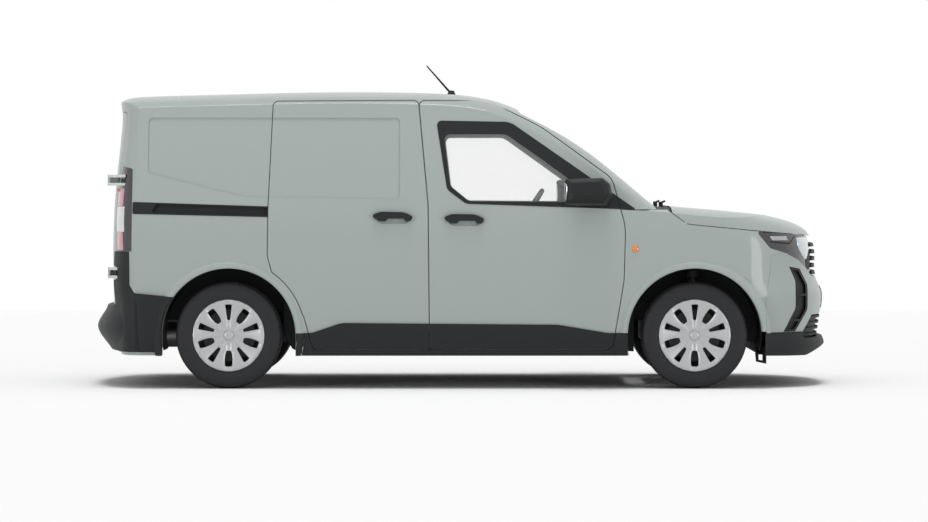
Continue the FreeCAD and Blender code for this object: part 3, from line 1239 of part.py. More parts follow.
def arch_liner(x, form, depth, front_z):
    # Arched wall over the tyre, closed on its inner side above the axle, reaching low behind the wheel
    y = -SIDE_REACH
    tube = rod(V(x, y, AXLE_Z), V(x, -LINER_HALF, AXLE_Z), ARCH_R + LINER_WALL)
    bore = rod(V(x, y, AXLE_Z), V(x, -LINER_HALF - LINER_WALL, AXLE_Z), ARCH_R)
    upper = box(x - LENGTH, x + LENGTH, y, 0, AXLE_Z + LINER_RISE, HEIGHT)
    band = tube.cut(rod(V(x, y, AXLE_Z), V(x, -LINER_HALF, AXLE_Z), ARCH_R))
    ends = box(x - LENGTH, x, y, 0, LINER_LOW_Z, HEIGHT).fuse(box(x, x + LENGTH, y, 0, front_z, HEIGHT))
    return tube.cut(bore).common(upper).fuse(band.common(ends)).common(form(depth))


def arch_liners():
    front = arch_liner(FRONT_X, nose_skin, WING_WALL + SEAT_CLEARANCE, LINER_LOW_Z)
    rear = arch_liner(REAR_X, flank, WALL + SEAT_CLEARANCE, AXLE_Z + LINER_RISE)
    keep("arch_liners", *(both(front) + both(rear)))


# Floor, bulkhead and body under the van

def wheel_room(x):
    room = room_round(x).fuse(box(x - ARCH_R, x + ARCH_FRONT, -SIDE_REACH, -LINER_HALF + SEAT_CLEARANCE, 0,
                                  AXLE_Z))
    return fused(both(room))


def floor_pan():
    # Load floor, cab floor, the riser between them, firewall, rails and sills as one welded piece
    wide = SIDE_REACH
    load = box(-LENGTH, BULKHEAD_X + BULKHEAD_WALL, -wide, wide, LOAD_FLOOR_Z - LOAD_FLOOR_WALL, LOAD_FLOOR_Z)
    riser = box(BULKHEAD_X, BULKHEAD_X + BULKHEAD_WALL, -wide, wide, CAB_FLOOR_Z, LOAD_FLOOR_Z)
    cab = box(BULKHEAD_X, FIREWALL_X, -wide, wide, CAB_FLOOR_Z - CAB_FLOOR_WALL, CAB_FLOOR_Z)
    firewall = box(FIREWALL_X, FIREWALL_X + FIREWALL_WALL, -wide, wide, CAB_FLOOR_Z - CAB_FLOOR_WALL,
                   FIREWALL_TOP_Z)
    half = ROOF_HALF - SEAT_CLEARANCE
    tail = box(-LENGTH, TAIL_FRONT_X, -half, half, TAIL_LOW_Z, LOAD_FLOOR_Z)
    inside = load.fuse([riser, cab, firewall]).common(skin(WALL))
    sill = tail.common(skin(BUMPER_WALL)).cut(rear_door_sill())
    rails = []
    for side in (-1, 1):
        y0 = side * RAIL_HALF - RAIL_WIDTH / 2
        rails.append(box(RAIL_BACK_X, BULKHEAD_X + BULKHEAD_WALL, y0, y0 + RAIL_WIDTH, RAIL_LOW_Z,
                         LOAD_FLOOR_Z))
        rails.append(box(BULKHEAD_X, FIREWALL_X + FIREWALL_WALL, y0, y0 + RAIL_WIDTH,
                         CAB_FLOOR_Z - RAIL_WIDTH,
                         CAB_FLOOR_Z))
        rails.append(box(FIREWALL_X, FRONT_RAIL_X, side * FRONT_RAIL_HALF - RAIL_WIDTH / 2,
                         side * FRONT_RAIL_HALF + RAIL_WIDTH / 2, FRONT_RAIL_Z, FRONT_RAIL_Z + RAIL_WIDTH))
    step = box(BULKHEAD_X, BULKHEAD_X + BULKHEAD_WALL, -wide, wide, LOAD_FLOOR_Z - BULKHEAD_SINK,
               LOAD_FLOOR_Z)
    pan = fused([inside, sill] + rails).cut(step)
    keep("floor_pan", pan.cut(wheel_room(REAR_X)).cut(wheel_room(FRONT_X)))


def rear_door_sill():
    return box(-LENGTH, REAR_FACE_X + REAR_FRAME_DEPTH, -REAR_DOOR_HALF - DOOR_GAP, REAR_DOOR_HALF + DOOR_GAP,
               REAR_DOOR_LOW - DOOR_GAP, HEIGHT).cut(skin(WALL))


def bulkhead():
    # Stands in a shallow step of the floor's edge, so the load floor stays one clear face
    wall = box(BULKHEAD_X, BULKHEAD_X + BULKHEAD_WALL, -SIDE_REACH, SIDE_REACH,
               LOAD_FLOOR_Z - BULKHEAD_SINK, HEIGHT)
    keep("bulkhead", wall.common(flank(WALL)))


def dashboard():
    profile = within(DASH_SHARES, FIREWALL_X, -DASH_DEPTH, DASH_LOW_Z, DASH_HEIGHT)
    body = prism(profile, "y", -DASH_HALF, DASH_HALF)
    axis = column_axis()
    hub = V(WHEEL_CENTRE_X, DRIVER_Y, WHEEL_CENTRE_Z)
    column = rod(hub + axis * COLUMN_START, hub + axis * COLUMN_LENGTH, COLUMN_R)
    keep("dashboard", body.fuse(column))


def column_axis():
    # Along the steering column, forwards and down from the driver
    tilt = math.asin(COLUMN_TILT_SHARE)
    return V(math.cos(tilt), 0, -math.sin(tilt))


def steering_wheel():
    hub = V(WHEEL_CENTRE_X, DRIVER_Y, WHEEL_CENTRE_Z)
    axis = column_axis()
    rim = Part.makeTorus(WHEEL_RIM_R, WHEEL_TUBE_R, hub, axis)
    boss = rod(hub - axis * WHEEL_TUBE_R, hub + axis * (COLUMN_START - SEAT_CLEARANCE), COLUMN_R * 1.3)
    spokes = []
    for turn in (0, 120, 240):
        spoke = box(0, WHEEL_RIM_R, -SPOKE_HALF, SPOKE_HALF, -WHEEL_TUBE_R / 2, WHEEL_TUBE_R / 2)
        spoke.rotate(V(0, 0, 0), V(0, 0, 1), turn + 180)
        spoke.Placement = FreeCAD.Placement(
            hub, FreeCAD.Rotation(V(0, 0, 1), axis * -1)).multiply(spoke.Placement)
        spokes.append(spoke)
    keep("steering_wheel", fused([rim, boss] + spokes))


def cushion_top(x):
    # Height of the cushion's sloping top at one place
    front, rear = CUSHION_SHARES[2][1], CUSHION_SHARES[3][1]
    return SEAT_BASE_Z + CUSHION_HEIGHT * (rear + (front - rear) * (x - CUSHION_X) / CUSHION_LENGTH)


def seats():
    # Each seat has a cushion on a plinth, a leaning back and a head restraint on two posts
    back_low = cushion_top(BACK_X + BACK_DEPTH * BACK_SHARES[0][0]) + SEAT_CLEARANCE
    rest_low = back_low + BACK_HEIGHT + REST_GAP
    half, post_x = SEAT_WIDTH / 2, REST_X + REST_DEPTH / 2
    cushion = within(CUSHION_SHARES, CUSHION_X, CUSHION_LENGTH, SEAT_BASE_Z, CUSHION_HEIGHT)
    back = within(BACK_SHARES, BACK_X, BACK_DEPTH, back_low, BACK_HEIGHT)
    rest = within(REST_SHARES, REST_X, REST_DEPTH, rest_low, REST_HEIGHT)
    for name, y in (("passenger", -DRIVER_Y), ("driver", DRIVER_Y)):
        posts = [rod(V(post_x, y + side * half / 4, rest_low - REST_GAP),
                     V(post_x, y + side * half / 4, rest_low), REST_POST_R)
                 for side in (-1, 1)]
        upper = fused([prism(back, "y", y - half, y + half),
                       prism(rest, "y", y - half / 2, y + half / 2)] + posts)
        plinth = box(CUSHION_X + PLINTH_INSET, CUSHION_X + CUSHION_LENGTH - PLINTH_INSET,
                     y - PLINTH_WIDTH / 2,
                     y + PLINTH_WIDTH / 2, CAB_FLOOR_Z, SEAT_BASE_Z)
        keep("seat_" + name, prism(cushion, "y", y - half, y + half), upper, plinth)


# Under the bonnet and under the floor

def engine():
    half = FRONT_RAIL_HALF - RAIL_WIDTH / 2 - SEAT_CLEARANCE
    keep("engine_block", box(ENGINE_BACK_X, ENGINE_FRONT_X, -half, half, ENGINE_LOW_Z, ENGINE_TOP_Z))


def radiator():
    core = box(RADIATOR_X, RADIATOR_X + RADIATOR_WALL, -RADIATOR_HALF, RADIATOR_HALF, RADIATOR_LOW_Z,
               RADIATOR_TOP_Z)
    beam = box(FRONT_RAIL_X, FRONT_RAIL_X + BEAM_DEPTH, -BEAM_HALF, BEAM_HALF, FRONT_RAIL_Z,
               FRONT_RAIL_Z + RAIL_WIDTH)
    middle = FRONT_RAIL_Z + RAIL_WIDTH / 2
    ties = [box(RADIATOR_X + RADIATOR_WALL, FRONT_RAIL_X + PANEL_GAP, side * TIE_HALF - TIE_WIDTH / 2,
                side * TIE_HALF + TIE_WIDTH / 2, middle - TIE_WIDTH / 2,
                middle + TIE_WIDTH / 2) for side in (-1, 1)]
    keep("radiator", fused([core, beam] + ties))


def fuel_tank():
    tank = box(TANK_X, TANK_X + TANK_LENGTH, TANK_Y, TANK_Y + TANK_WIDTH, TANK_LOW_Z,
               LOAD_FLOOR_Z - LOAD_FLOOR_WALL)
    keep("fuel_tank", tank.makeFillet(TANK_CORNER, tank.Edges))


def exhaust():
    # A pipe over the rear axle, down to a silencer whose tail pipe passes under the rear sill
    bend = V(EXHAUST_BEND_X, EXHAUST_Y, EXHAUST_Z)
    low = V(SILENCER_X + SILENCER_LENGTH, EXHAUST_Y, SILENCER_Z)
    pieces = [rod(V(EXHAUST_FRONT_X, EXHAUST_Y, EXHAUST_Z), bend, EXHAUST_R), rod(bend, low, EXHAUST_R),
              rod(low, low - V(SILENCER_LENGTH, 0, 0), SILENCER_R),
              rod(low - V(SILENCER_LENGTH, 0, EXHAUST_R), V(EXHAUST_END_X, EXHAUST_Y, SILENCER_Z - EXHAUST_R),
                  EXHAUST_R)]
    for x, z in ((SILENCER_X + SILENCER_LENGTH / 2, SILENCER_Z), (EXHAUST_HANGER_X, EXHAUST_Z)):
        pieces.append(rod(V(x, EXHAUST_Y, z), V(x, EXHAUST_Y, LOAD_FLOOR_Z - LOAD_FLOOR_WALL), EXHAUST_R / 3))
    keep("exhaust", fused(pieces))


def scuttle():
    tray = box(SCUTTLE_BACK_X, SCUTTLE_FRONT_X, -SCUTTLE_HALF, SCUTTLE_HALF, SCUTTLE_LOW_Z, HEIGHT)
    tray = shell(tray, SCUTTLE_DEPTH, SCUTTLE_DEPTH + SCUTTLE_WALL, nose_skin).cut(flank(0))
    for y, _ in WIPER_PLACES:
        tray = tray.cut(rod(V(WIPER_X, y, WIPER_Z - WIPER_RISE), V(WIPER_X, y, WIPER_Z),
                            WIPER_R + SEAT_CLEARANCE))
    keep("scuttle", tray)


def wipers():
    solids = []
    for y, length in WIPER_PLACES:
        spindle = rod(V(WIPER_X, y, WIPER_Z - WIPER_RISE), V(WIPER_X, y, WIPER_Z), WIPER_R)
        tip = V(WIPER_X - WIPER_SWEEP, y - length, WIPER_Z + WIPER_LIFT)
        arm = rod(V(WIPER_X, y, WIPER_Z - WIPER_ARM_R), tip, WIPER_ARM_R)
        solids.append(fused([spindle, arm]))
    keep("wipers", *solids)


def antenna():
    # Mast on a round foot that stands square to the roof
    x, step = ANTENNA_X, ANTENNA_ROOT_R
    heights = [HEIGHT * smooth(ROOF_XZ_SHARES, at / LENGTH) for at in (x - step, x, x + step)]
    normal = V(heights[0] - heights[2], 0, step * 2).normalize()
    base = V(x, 0, heights[1]) + normal * SEAT_CLEARANCE
    foot = Part.makeCone(ANTENNA_ROOT_R * 4, ANTENNA_ROOT_R * 2, ANTENNA_ROOT_R * 4, base, normal)
    lean = V(-math.sin(ANTENNA_TILT), 0, math.cos(ANTENNA_TILT))
    mast = Part.makeCone(ANTENNA_ROOT_R, ANTENNA_TIP_R, ANTENNA_LENGTH, base + normal * step, lean)
    keep("antenna", fused([mast, foot]))


for make in (floor_pan, side_panels, roof, bulkhead, windscreen, wings, bonnet, headlamps, grille,
             front_bumper, bumper_vents, intake_grille, front_skirt, scuttle, wipers, antenna, front_door,
             corner_trims, sliding_door, door_track, side_mouldings, fuel_flap, rear_doors, rear_hinges,
             tail_lamps, rear_bumper, arch_liners, wheels, knuckles, front_subframe, rear_axle, engine,
             radiator, fuel_tank, exhaust, dashboard, steering_wheel, seats):
    make()
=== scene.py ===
import math

import bmesh
import bpy
from mathutils import Matrix, Vector
from mathutils.bvhtree import BVHTree


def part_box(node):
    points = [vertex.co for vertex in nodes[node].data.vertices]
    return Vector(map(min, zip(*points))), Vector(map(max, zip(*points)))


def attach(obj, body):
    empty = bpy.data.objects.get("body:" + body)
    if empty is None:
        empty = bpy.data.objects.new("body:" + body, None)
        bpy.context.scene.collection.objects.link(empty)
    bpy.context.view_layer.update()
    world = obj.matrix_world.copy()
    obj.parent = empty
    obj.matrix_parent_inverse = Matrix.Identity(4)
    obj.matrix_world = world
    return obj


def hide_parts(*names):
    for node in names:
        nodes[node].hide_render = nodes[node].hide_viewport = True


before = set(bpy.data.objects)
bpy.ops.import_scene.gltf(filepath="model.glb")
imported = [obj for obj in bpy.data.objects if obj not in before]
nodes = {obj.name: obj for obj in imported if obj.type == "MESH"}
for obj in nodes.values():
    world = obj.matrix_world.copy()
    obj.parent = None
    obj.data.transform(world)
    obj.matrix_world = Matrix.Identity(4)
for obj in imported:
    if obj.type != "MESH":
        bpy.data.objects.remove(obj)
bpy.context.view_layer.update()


# Painted steel panels.
# Pressed sheet in pale grey-green gloss paint under clear lacquer: the sides, roof, wings, bonnet,
# all doors and the front bumper, which is moulded plastic in the same paint.

OBJECT_PLACE = 3


class Value:
    """A socket of a material's node tree that can be used in a sum."""

    def __init__(self, tree, socket):
        self.tree = tree
        self.socket = socket

    def node(self, kind, settings=None, output=0, **inputs):
        made = self.tree.nodes.new(kind)
        for key, setting in (settings or {}).items():
            if key == "stops":
                ramp = made.color_ramp
                while len(ramp.elements) < len(setting):
                    ramp.elements.new(0.5)
                for stop, (place, colour) in zip(ramp.elements, setting):
                    stop.position, stop.color = place, colour
            else:
                setattr(made, key, setting)
        for key, item in inputs.items():
            name = key.replace("_", " ")
            numbered = key[0] == "i" and key[1:].isdigit()
            socket = made.inputs[int(key[1:]) if numbered else name]
            if isinstance(item, Value):
                self.tree.links.new(item.socket, socket)
            else:
                socket.default_value = item
        return Value(self.tree, made.outputs[output])

    def math(self, operation, first, second):
        return self.node("ShaderNodeMath", {"operation": operation}, i0=first, i1=second)

    def __add__(self, other):
        return self.math("ADD", self, other)

    def __radd__(self, other):
        return self.math("ADD", other, self)

    def __sub__(self, other):
        return self.math("SUBTRACT", self, other)

    def __rsub__(self, other):
        return self.math("SUBTRACT", other, self)

    def __mul__(self, other):
        return self.math("MULTIPLY", self, other)

    def __rmul__(self, other):
        return self.math("MULTIPLY", other, self)


def new_finish(name, colour, roughness, **sockets):
    """A material whose shader holds these constants."""
    finish = bpy.data.materials.new(name)
    finish.use_nodes = True
    shader = finish.node_tree.nodes["Principled BSDF"]
    shader.inputs["Base Color"].default_value = (*colour, 1)
    shader.inputs["Roughness"].default_value = roughness
    for key, item in sockets.items():
        shader.inputs[key.replace("_", " ")].default_value = item
    return finish


def feed(finish, **links):
    """Joins worked-out values to the shader's own sockets."""
    shader = finish.node_tree.nodes["Principled BSDF"]
    for key, item in links.items():
        finish.node_tree.links.new(item.socket, shader.inputs[key.replace("_", " ")])


def dress(finish, slot, *names):
    """The CAD pieces of these names take a finish."""
    for name in names:
        piece = nodes[name]
        piece.data.materials.clear()
        piece.data.materials.append(finish)


def uneven(finish, scale, bump, depth, gloss=0.0, detail=3.0):
    """Fine unevenness of a real surface: a noise that lifts it slightly and varies how it shines."""
    start = Value(finish.node_tree, None)
    place = start.node("ShaderNodeTexCoord", output=OBJECT_PLACE)
    noise = start.node("ShaderNodeTexNoise", Vector=place, Scale=scale, Detail=detail)
    feed(finish, Normal=start.node("ShaderNodeBump", Strength=bump, Distance=depth, Height=noise))
    if gloss:
        middle = finish.node_tree.nodes["Principled BSDF"].inputs["Roughness"].default_value
        feed(finish, Roughness=noise * gloss + (middle - gloss / 2))
    return finish


PAINT = (0.365, 0.413, 0.395)
paint = new_finish("pale_green_paint", PAINT, 0.42, Specular_IOR_Level=0.15, Coat_Weight=0.3,
                   Coat_Roughness=0.06)
uneven(paint, scale=170.0, bump=0.05, depth=0.0002, gloss=0.06)
dress(paint, "body_paint", "side_panel_right", "side_panel_left", "roof", "front_wings", "bonnet",
      "front_bumper", "front_door_right", "front_door_left", "sliding_door", "rear_door_right",
      "rear_door_left", "fuel_flap")


# Black mouldings.
# Grained dark plastic left unpainted: sill and wheel arch mouldings, rear bumper, front skirt, window frames,
# door grips, mirror housings, sliding door track, scuttle and arch liners.

BLACK = (0.0155, 0.0168, 0.0178)
black = new_finish("grained_black_plastic", BLACK, 0.55, Specular_IOR_Level=0.22)
uneven(black, scale=900.0, bump=0.12, depth=0.0004, gloss=0.08, detail=2.0)
dress(black, "black_plastic", "side_mouldings", "sliding_door_trim", "door_trim_right", "door_trim_left",
      "corner_trims", "rear_bumper", "front_skirt", "door_track", "scuttle", "bumper_vents", "arch_liners",
      "antenna", "wipers", "grille", "intake_grille")


# Tie-down loop and arch guards.
# A flat steel loop, black coated, under the right end of the front skirt, and a thin moulded guard that
# closes the inner lower corner of each wheel arch at the sill. Each is one cut plate with its edges broken.

PLATE_EDGE = 0.0012
LOOP_OUT = ((1.728, 0.192), (1.794, 0.192), (1.794, 0.127), (1.733, 0.140))
LOOP_IN = ((1.748, 0.181), (1.771, 0.181), (1.771, 0.146), (1.749, 0.151))
LOOP_Y = -0.50
LOOP_THICK = 0.008
REAR_GUARD = ((-0.944, 0.390), (-1.010, 0.500), (-1.030, 0.500), (-1.035, 0.300), (-0.982, 0.222),
              (-0.944, 0.202))
FRONT_GUARD = ((0.961, 0.300), (0.961, 0.204), (0.984, 0.208), (1.008, 0.206), (1.008, 0.440), (0.985, 0.440))
GUARD_Y = 0.66
GUARD_THICK = 0.004


def new_piece(name, mesh, finish, body):
    """A piece of this mesh in one finish, riding on a body."""
    mesh.materials.append(finish)
    piece = bpy.data.objects.new(name, mesh)
    bpy.context.collection.objects.link(piece)
    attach(piece, body)
    return piece


def plate_piece(name, outline, hole, y, thick):
    """A flat upright plate cut to an outline of (x, z) points. A hole has as many points as the outline."""
    ring = outline + hole
    points = [(x, y + half, z) for half in (-thick / 2, thick / 2) for x, z in ring]
    count, total = len(outline), len(ring)
    faces = [(k, (k + 1) % count, (k + 1) % count + total, k + total) for k in range(count)]
    if hole:
        for k in range(count):
            n = (k + 1) % count
            a, b = k + count, n + count
            faces += [(a, a + total, b + total, b), (k, a, b, n),
                      (k + total, n + total, b + total, a + total)]
    else:
        faces += [tuple(range(count))[::-1], tuple(range(total, total + count))]
    mesh = bpy.data.meshes.new(name)
    mesh.from_pydata(points, [], faces)
    plate = new_piece(name, mesh, black, "root")
    edge = plate.modifiers.new("edge", "BEVEL")
    edge.width, edge.segments = PLATE_EDGE, 2


plate_piece("tie_down_loop", LOOP_OUT, LOOP_IN, LOOP_Y, LOOP_THICK)
for side, y in (("right", -GUARD_Y), ("left", GUARD_Y)):
    plate_piece("rear_guard_" + side, REAR_GUARD, (), y, GUARD_THICK)
    plate_piece("front_guard_" + side, FRONT_GUARD, (), y, GUARD_THICK)


# Chassis and what shows from below.
# A welded steel floor under dark sealer, a bulkhead pressed from sheet and left in primer, black coated
# axle, subframe, knuckles and radiator pack, bare steel exhaust and hinges, a cast engine and a moulded tank.

primer = new_finish("floor_primer", (0.20, 0.22, 0.21), 0.55)
chassis = new_finish("chassis_coating", (0.022, 0.022, 0.024), 0.5)
steel = new_finish("dull_steel", (0.28, 0.28, 0.28), 0.42, Metallic=1.0)
tank_plastic = new_finish("tank_plastic", (0.025, 0.025, 0.027), 0.45)
casting = new_finish("engine_casting", (0.040, 0.040, 0.042), 0.6, Metallic=0.3)
floor_coat = new_finish("floor_coating", (0.030, 0.031, 0.031), 0.7)
uneven(primer, scale=60.0, bump=0.1, depth=0.0006, gloss=0.15)
uneven(floor_coat, scale=180.0, bump=0.25, depth=0.0008, gloss=0.15)
uneven(casting, scale=120.0, bump=0.3, depth=0.0008, gloss=0.2)
uneven(chassis, scale=240.0, bump=0.2, depth=0.0006, gloss=0.2)
uneven(steel, scale=150.0, bump=0.15, depth=0.0005, gloss=0.25)
uneven(tank_plastic, scale=500.0, bump=0.1, depth=0.0004, gloss=0.1)
dress(primer, "inner_metal", "bulkhead")
dress(floor_coat, "inner_metal", "floor_pan")
dress(chassis, "chassis_metal", "front_subframe", "rear_axle", "knuckle_right", "knuckle_left", "radiator")
dress(steel, "chassis_metal", "exhaust", "rear_hinges")
dress(casting, "engine_metal", "engine_block")
dress(tank_plastic, "black_plastic", "fuel_tank")


# Glass.
# A laminated windscreen bonded into the body, and one tempered pane in each front door, both lightly
# tinted and polished clear.

glass = new_finish("clear_glass", (0.92, 0.95, 0.94), 0.0, Alpha=0.08, Coat_Weight=1.0)
uneven(glass, scale=6.0, bump=0.01, depth=0.0005)
dress(glass, "window_glass", "windscreen", "door_glass_right", "door_glass_left")


# Lamps.
# Dark plastic housings behind clear covers. The headlamp's light units, the tail lamp's three lenses and
# the round side repeater are thin moulded pieces that follow the curved housings.

lamp_black = new_finish("lamp_housing", (0.022, 0.021, 0.026), 0.2, Coat_Weight=0.6, Coat_Roughness=0.05)
uneven(lamp_black, scale=300.0, bump=0.03, depth=0.0002, gloss=0.06)
dress(lamp_black, "lamp", "headlamps", "tail_lamps")


def surface_of(*names):
    """CAD pieces as one surface for rays to meet."""
    points, faces = [], []
    for name in names:
        piece = nodes[name]
        first = len(points)
        points += [piece.matrix_world @ v.co for v in piece.data.vertices]
        faces += [[first + i for i in face.vertices] for face in piece.data.polygons]
    return BVHTree.FromPolygons(points, faces)


def between(table, at):
    """Value at one place of a table of (place, value) pairs, joined by straight lines."""
    for (p, a), (q, b) in zip(table, table[1:]):
        if at <= q:
            return a + (b - a) * max(0.0, at - p) / (q - p)
    return table[-1][1]


SIDES = (("right", False), ("left", True))
SIGHT_START = 4
DEPTH_JUMP = 0.2
SUNK_WALL = 0.0006


def laid(name, finish, body, under, look, rows, lift=0.002, dome=0.0, across=10, ups=14,
         mirror=False, lengthwise=False):
    """A thin piece laid on a surface along a level line of sight. Each row holds a height and two edges,
    or for a lengthwise piece a place along it, its upper edge and its lower edge."""
    look = Vector((*look, 0)).normalized()
    aside = Vector((look.y, -look.x, 0))
    low_edge, high_edge = [(z, a) for z, a, _ in rows], [(z, b) for z, _, b in rows]
    points, depth = [], None
    for i in range(ups + 1):
        at = rows[0][0] + (rows[-1][0] - rows[0][0]) * i / ups
        low, high = between(low_edge, at), between(high_edge, at)
        for k in range(across + 1):
            over = low + (high - low) * k / across
            a, z = (at, over) if lengthwise else (over, at)
            start = aside * a - look * SIGHT_START + Vector((0, 0, z))
            meets = under.ray_cast(start, look)[3]
            if meets and (depth is None or abs(meets - depth) < DEPTH_JUMP):
                depth = meets
            rise = dome * (1 - (2 * i / ups - 1) ** 2) * (1 - (2 * k / across - 1) ** 2)
            points.append(start + look * ((depth or SIGHT_START) - lift - rise))
    if mirror:
        points = [Vector((p.x, -p.y, p.z)) for p in points]
    wide = across + 1
    faces = [(j, j + 1, j + wide + 1, j + wide)
             for i in range(ups) for j in range(i * wide, i * wide + across)]
    if mirror:
        faces = [face[::-1] for face in faces]
    mesh = bpy.data.meshes.new(name)
    mesh.from_pydata(points, [], faces)
    mesh.shade_smooth()
    piece = new_piece(name, mesh, finish, body)
    wall = piece.modifiers.new("wall", "SOLIDIFY")
    wall.thickness, wall.offset = lift + SUNK_WALL, -1.0


def round_rows(z, at, radius):
    """Rows of a round piece, closer together near its top and foot."""
    shares = (-0.999, -0.96, -0.85, -0.6, -0.3, 0, 0.3, 0.6, 0.85, 0.96, 0.999)
    halves = [radius * math.sqrt(1 - share * share) for share in shares]
    return [(z + radius * share, at - half, at + half) for share, half in zip(shares, halves)]


clear_lens = new_finish("headlamp_unit", (0.52, 0.58, 0.62), 0.12, Metallic=0.35, Coat_Weight=1.0)
bar_lens = new_finish("lamp_bar", (0.36, 0.38, 0.40), 0.25, Coat_Weight=1.0)
amber = new_finish("amber_lens", (0.80, 0.20, 0.015), 0.15, Coat_Weight=1.0)
red_lens = new_finish("red_lens", (0.58, 0.24, 0.28), 0.15, Coat_Weight=1.0)
white_lens = new_finish("white_lens", (0.66, 0.66, 0.66), 0.15, Coat_Weight=1.0)
for finish in (clear_lens, bar_lens, amber, red_lens, white_lens):
    start = Value(finish.node_tree, None)
    place = start.node("ShaderNodeTexCoord", output=OBJECT_PLACE)
    flutes = start.node("ShaderNodeTexWave", {"bands_direction": "Z"}, Vector=place, Scale=60.0)
    feed(finish, Normal=start.node("ShaderNodeBump", Strength=0.25, Distance=0.0005, Height=flutes))

lamp_line = new_finish("lamp_edge", (0.004, 0.004, 0.005), 0.5, Specular_IOR_Level=0.2)
uneven(lamp_line, scale=500.0, bump=0.05, depth=0.0002)

HEAD_LOOK = (-1, 1)
HEAD_UNIT = [(0.744, 1.036, 1.062), (0.752, 1.018, 1.074), (0.768, 0.990, 1.088), (0.785, 0.968, 1.104),
             (0.800, 0.955, 1.126), (0.820, 0.946, 1.134), (0.845, 0.941, 1.130), (0.862, 0.943, 1.118),
             (0.870, 0.952, 1.098)]
HEAD_BAR = [(0.856, 0.715, 0.842), (0.880, 0.700, 0.836)]
HEAD_TOP = ((0.66, 0.9075), (0.74, 0.9085), (0.79, 0.9065), (0.84, 0.9015), (0.94, 0.8940), (1.04, 0.8900),
            (1.085, 0.8850))
HEAD_LINE = ((0.700, 0.852), (0.840, 0.840), (0.870, 0.846), (0.905, 0.872), (0.930, 0.882))
LINE_HEIGHT = 0.007
GRILLE_END = [(0.682, 1.092, 1.143), (0.700, 1.060, 1.143), (0.735, 1.045, 1.143), (0.747, 1.068, 1.143),
              (0.768, 1.091, 1.143), (0.785, 1.107, 1.143), (0.800, 1.130, 1.143)]
SIDE_LOOK = (0, 1)
REPEATER_HEIGHT, REPEATER_ALONG, REPEATER_RADIUS = 0.808, 1.0076, 0.0195
TAIL_LOOK = (0.819, 0.574)
TAIL_BANDS = ((red_lens, 0.800, 0.902, 0.0), (white_lens, 0.905, 1.052, 0.014), (red_lens, 1.055, 1.157, 0.0))
TAIL_FOOT = 0.8
TAIL_EDGES = (-0.512, -0.440)
TAIL_LEANS = (0.13, 0.107)
head_surface, tail_surface = surface_of("headlamps"), surface_of("tail_lamps")
wing_surface = surface_of("front_wings")
repeater_rows = round_rows(REPEATER_HEIGHT, REPEATER_ALONG, REPEATER_RADIUS)
for side, mirror in SIDES:
    laid("headlamp_unit_" + side, clear_lens, "root", head_surface, HEAD_LOOK, HEAD_UNIT,
         dome=0.004, mirror=mirror)
    laid("headlamp_bar_" + side, bar_lens, "root", head_surface, HEAD_LOOK, HEAD_BAR, mirror=mirror)
    for line, places in (("top", HEAD_TOP), ("mid", HEAD_LINE)):
        rows = [(a, z, z - LINE_HEIGHT) for a, z in places]
        laid("headlamp_line_" + line + "_" + side, lamp_line, "root", head_surface,
             HEAD_LOOK, rows, lift=0.001, across=2, ups=40, mirror=mirror, lengthwise=True)
    laid("grille_end_" + side, lamp_line, "root", head_surface, HEAD_LOOK, GRILLE_END,
         lift=0.0015, mirror=mirror)
    laid("side_repeater_" + side, amber, "root", wing_surface, SIDE_LOOK, repeater_rows,
         lift=0.003, dome=0.006, mirror=mirror)
    for k, (lens, low, high, wide) in enumerate(TAIL_BANDS):
        rows = [(z, TAIL_EDGES[0] - wide - (z - TAIL_FOOT) * TAIL_LEANS[0],
                 TAIL_EDGES[1] + wide - (z - TAIL_FOOT) * TAIL_LEANS[1]) for z in (low, high)]
        laid("tail_lens_" + str(k) + "_" + side, lens, "root", tail_surface, TAIL_LOOK, rows,
             lift=0.004, dome=0.003, mirror=mirror)


# Door mirrors, plate, sill ends and rear handle.
# Silvered glass and a lower shell on the mirror housings, the shell's colour darker than the black plastic as
# painted shade of the housings' undersides, a blank front plate on its holder, the black end of each sill,
# the brake light in the roof's rear edge and a pull handle, moulded and clipped on.

MIRROR_BASE_AND_SHADE = [(1.067, 0.615, 0.826), (1.078, 0.606, 0.842), (1.108, 0.603, 0.860), (1.1245, 0.604, 0.864)]
SILL_END = [(0.191, -0.953, -0.880), (0.321, -0.953, -0.880)]
MIRROR_ROWS = [(1.080, 0.955, 1.005), (1.095, 0.945, 1.020), (1.140, 0.945, 1.030), (1.175, 0.952, 1.028),
               (1.190, 0.965, 1.012)]
PLATE_HALF, PLATE_LOW, PLATE_HIGH = 0.260, 0.458, 0.570
HOLDER_RIM = 0.008
HOLDER_HALF = PLATE_HALF + HOLDER_RIM
BRAKE_LIGHT = [(1.634, -0.105, 0.105), (1.638, -0.112, 0.112), (1.654, -0.112, 0.112), (1.658, -0.105, 0.105)]
REAR_HANDLE = [(0.965, 0.065, 0.185), (0.975, 0.055, 0.195), (1.005, 0.055, 0.195), (1.015, 0.065, 0.185)]
FRONT_LOOK, BACK_LOOK = (-1, 0), (1, 0)

# The lower shell is its own moulding. Its colour, darker than the grained black, is painted shade of the
# underside.
mirror_base_with_painted_shade = new_finish("mirror_base_with_painted_shade", (0.0085, 0.009, 0.0095), 0.5, Specular_IOR_Level=0.25)
mirror_glass = new_finish("mirror_glass", (0.70, 0.72, 0.73), 0.04, Metallic=1.0)
plate_white = new_finish("blank_plate", (0.62, 0.62, 0.60), 0.4)
uneven(mirror_base_with_painted_shade, scale=900.0, bump=0.12, depth=0.0004, gloss=0.08)
uneven(mirror_glass, scale=5.0, bump=0.01, depth=0.0003)
uneven(plate_white, scale=80.0, bump=0.05, depth=0.0003, gloss=0.1)

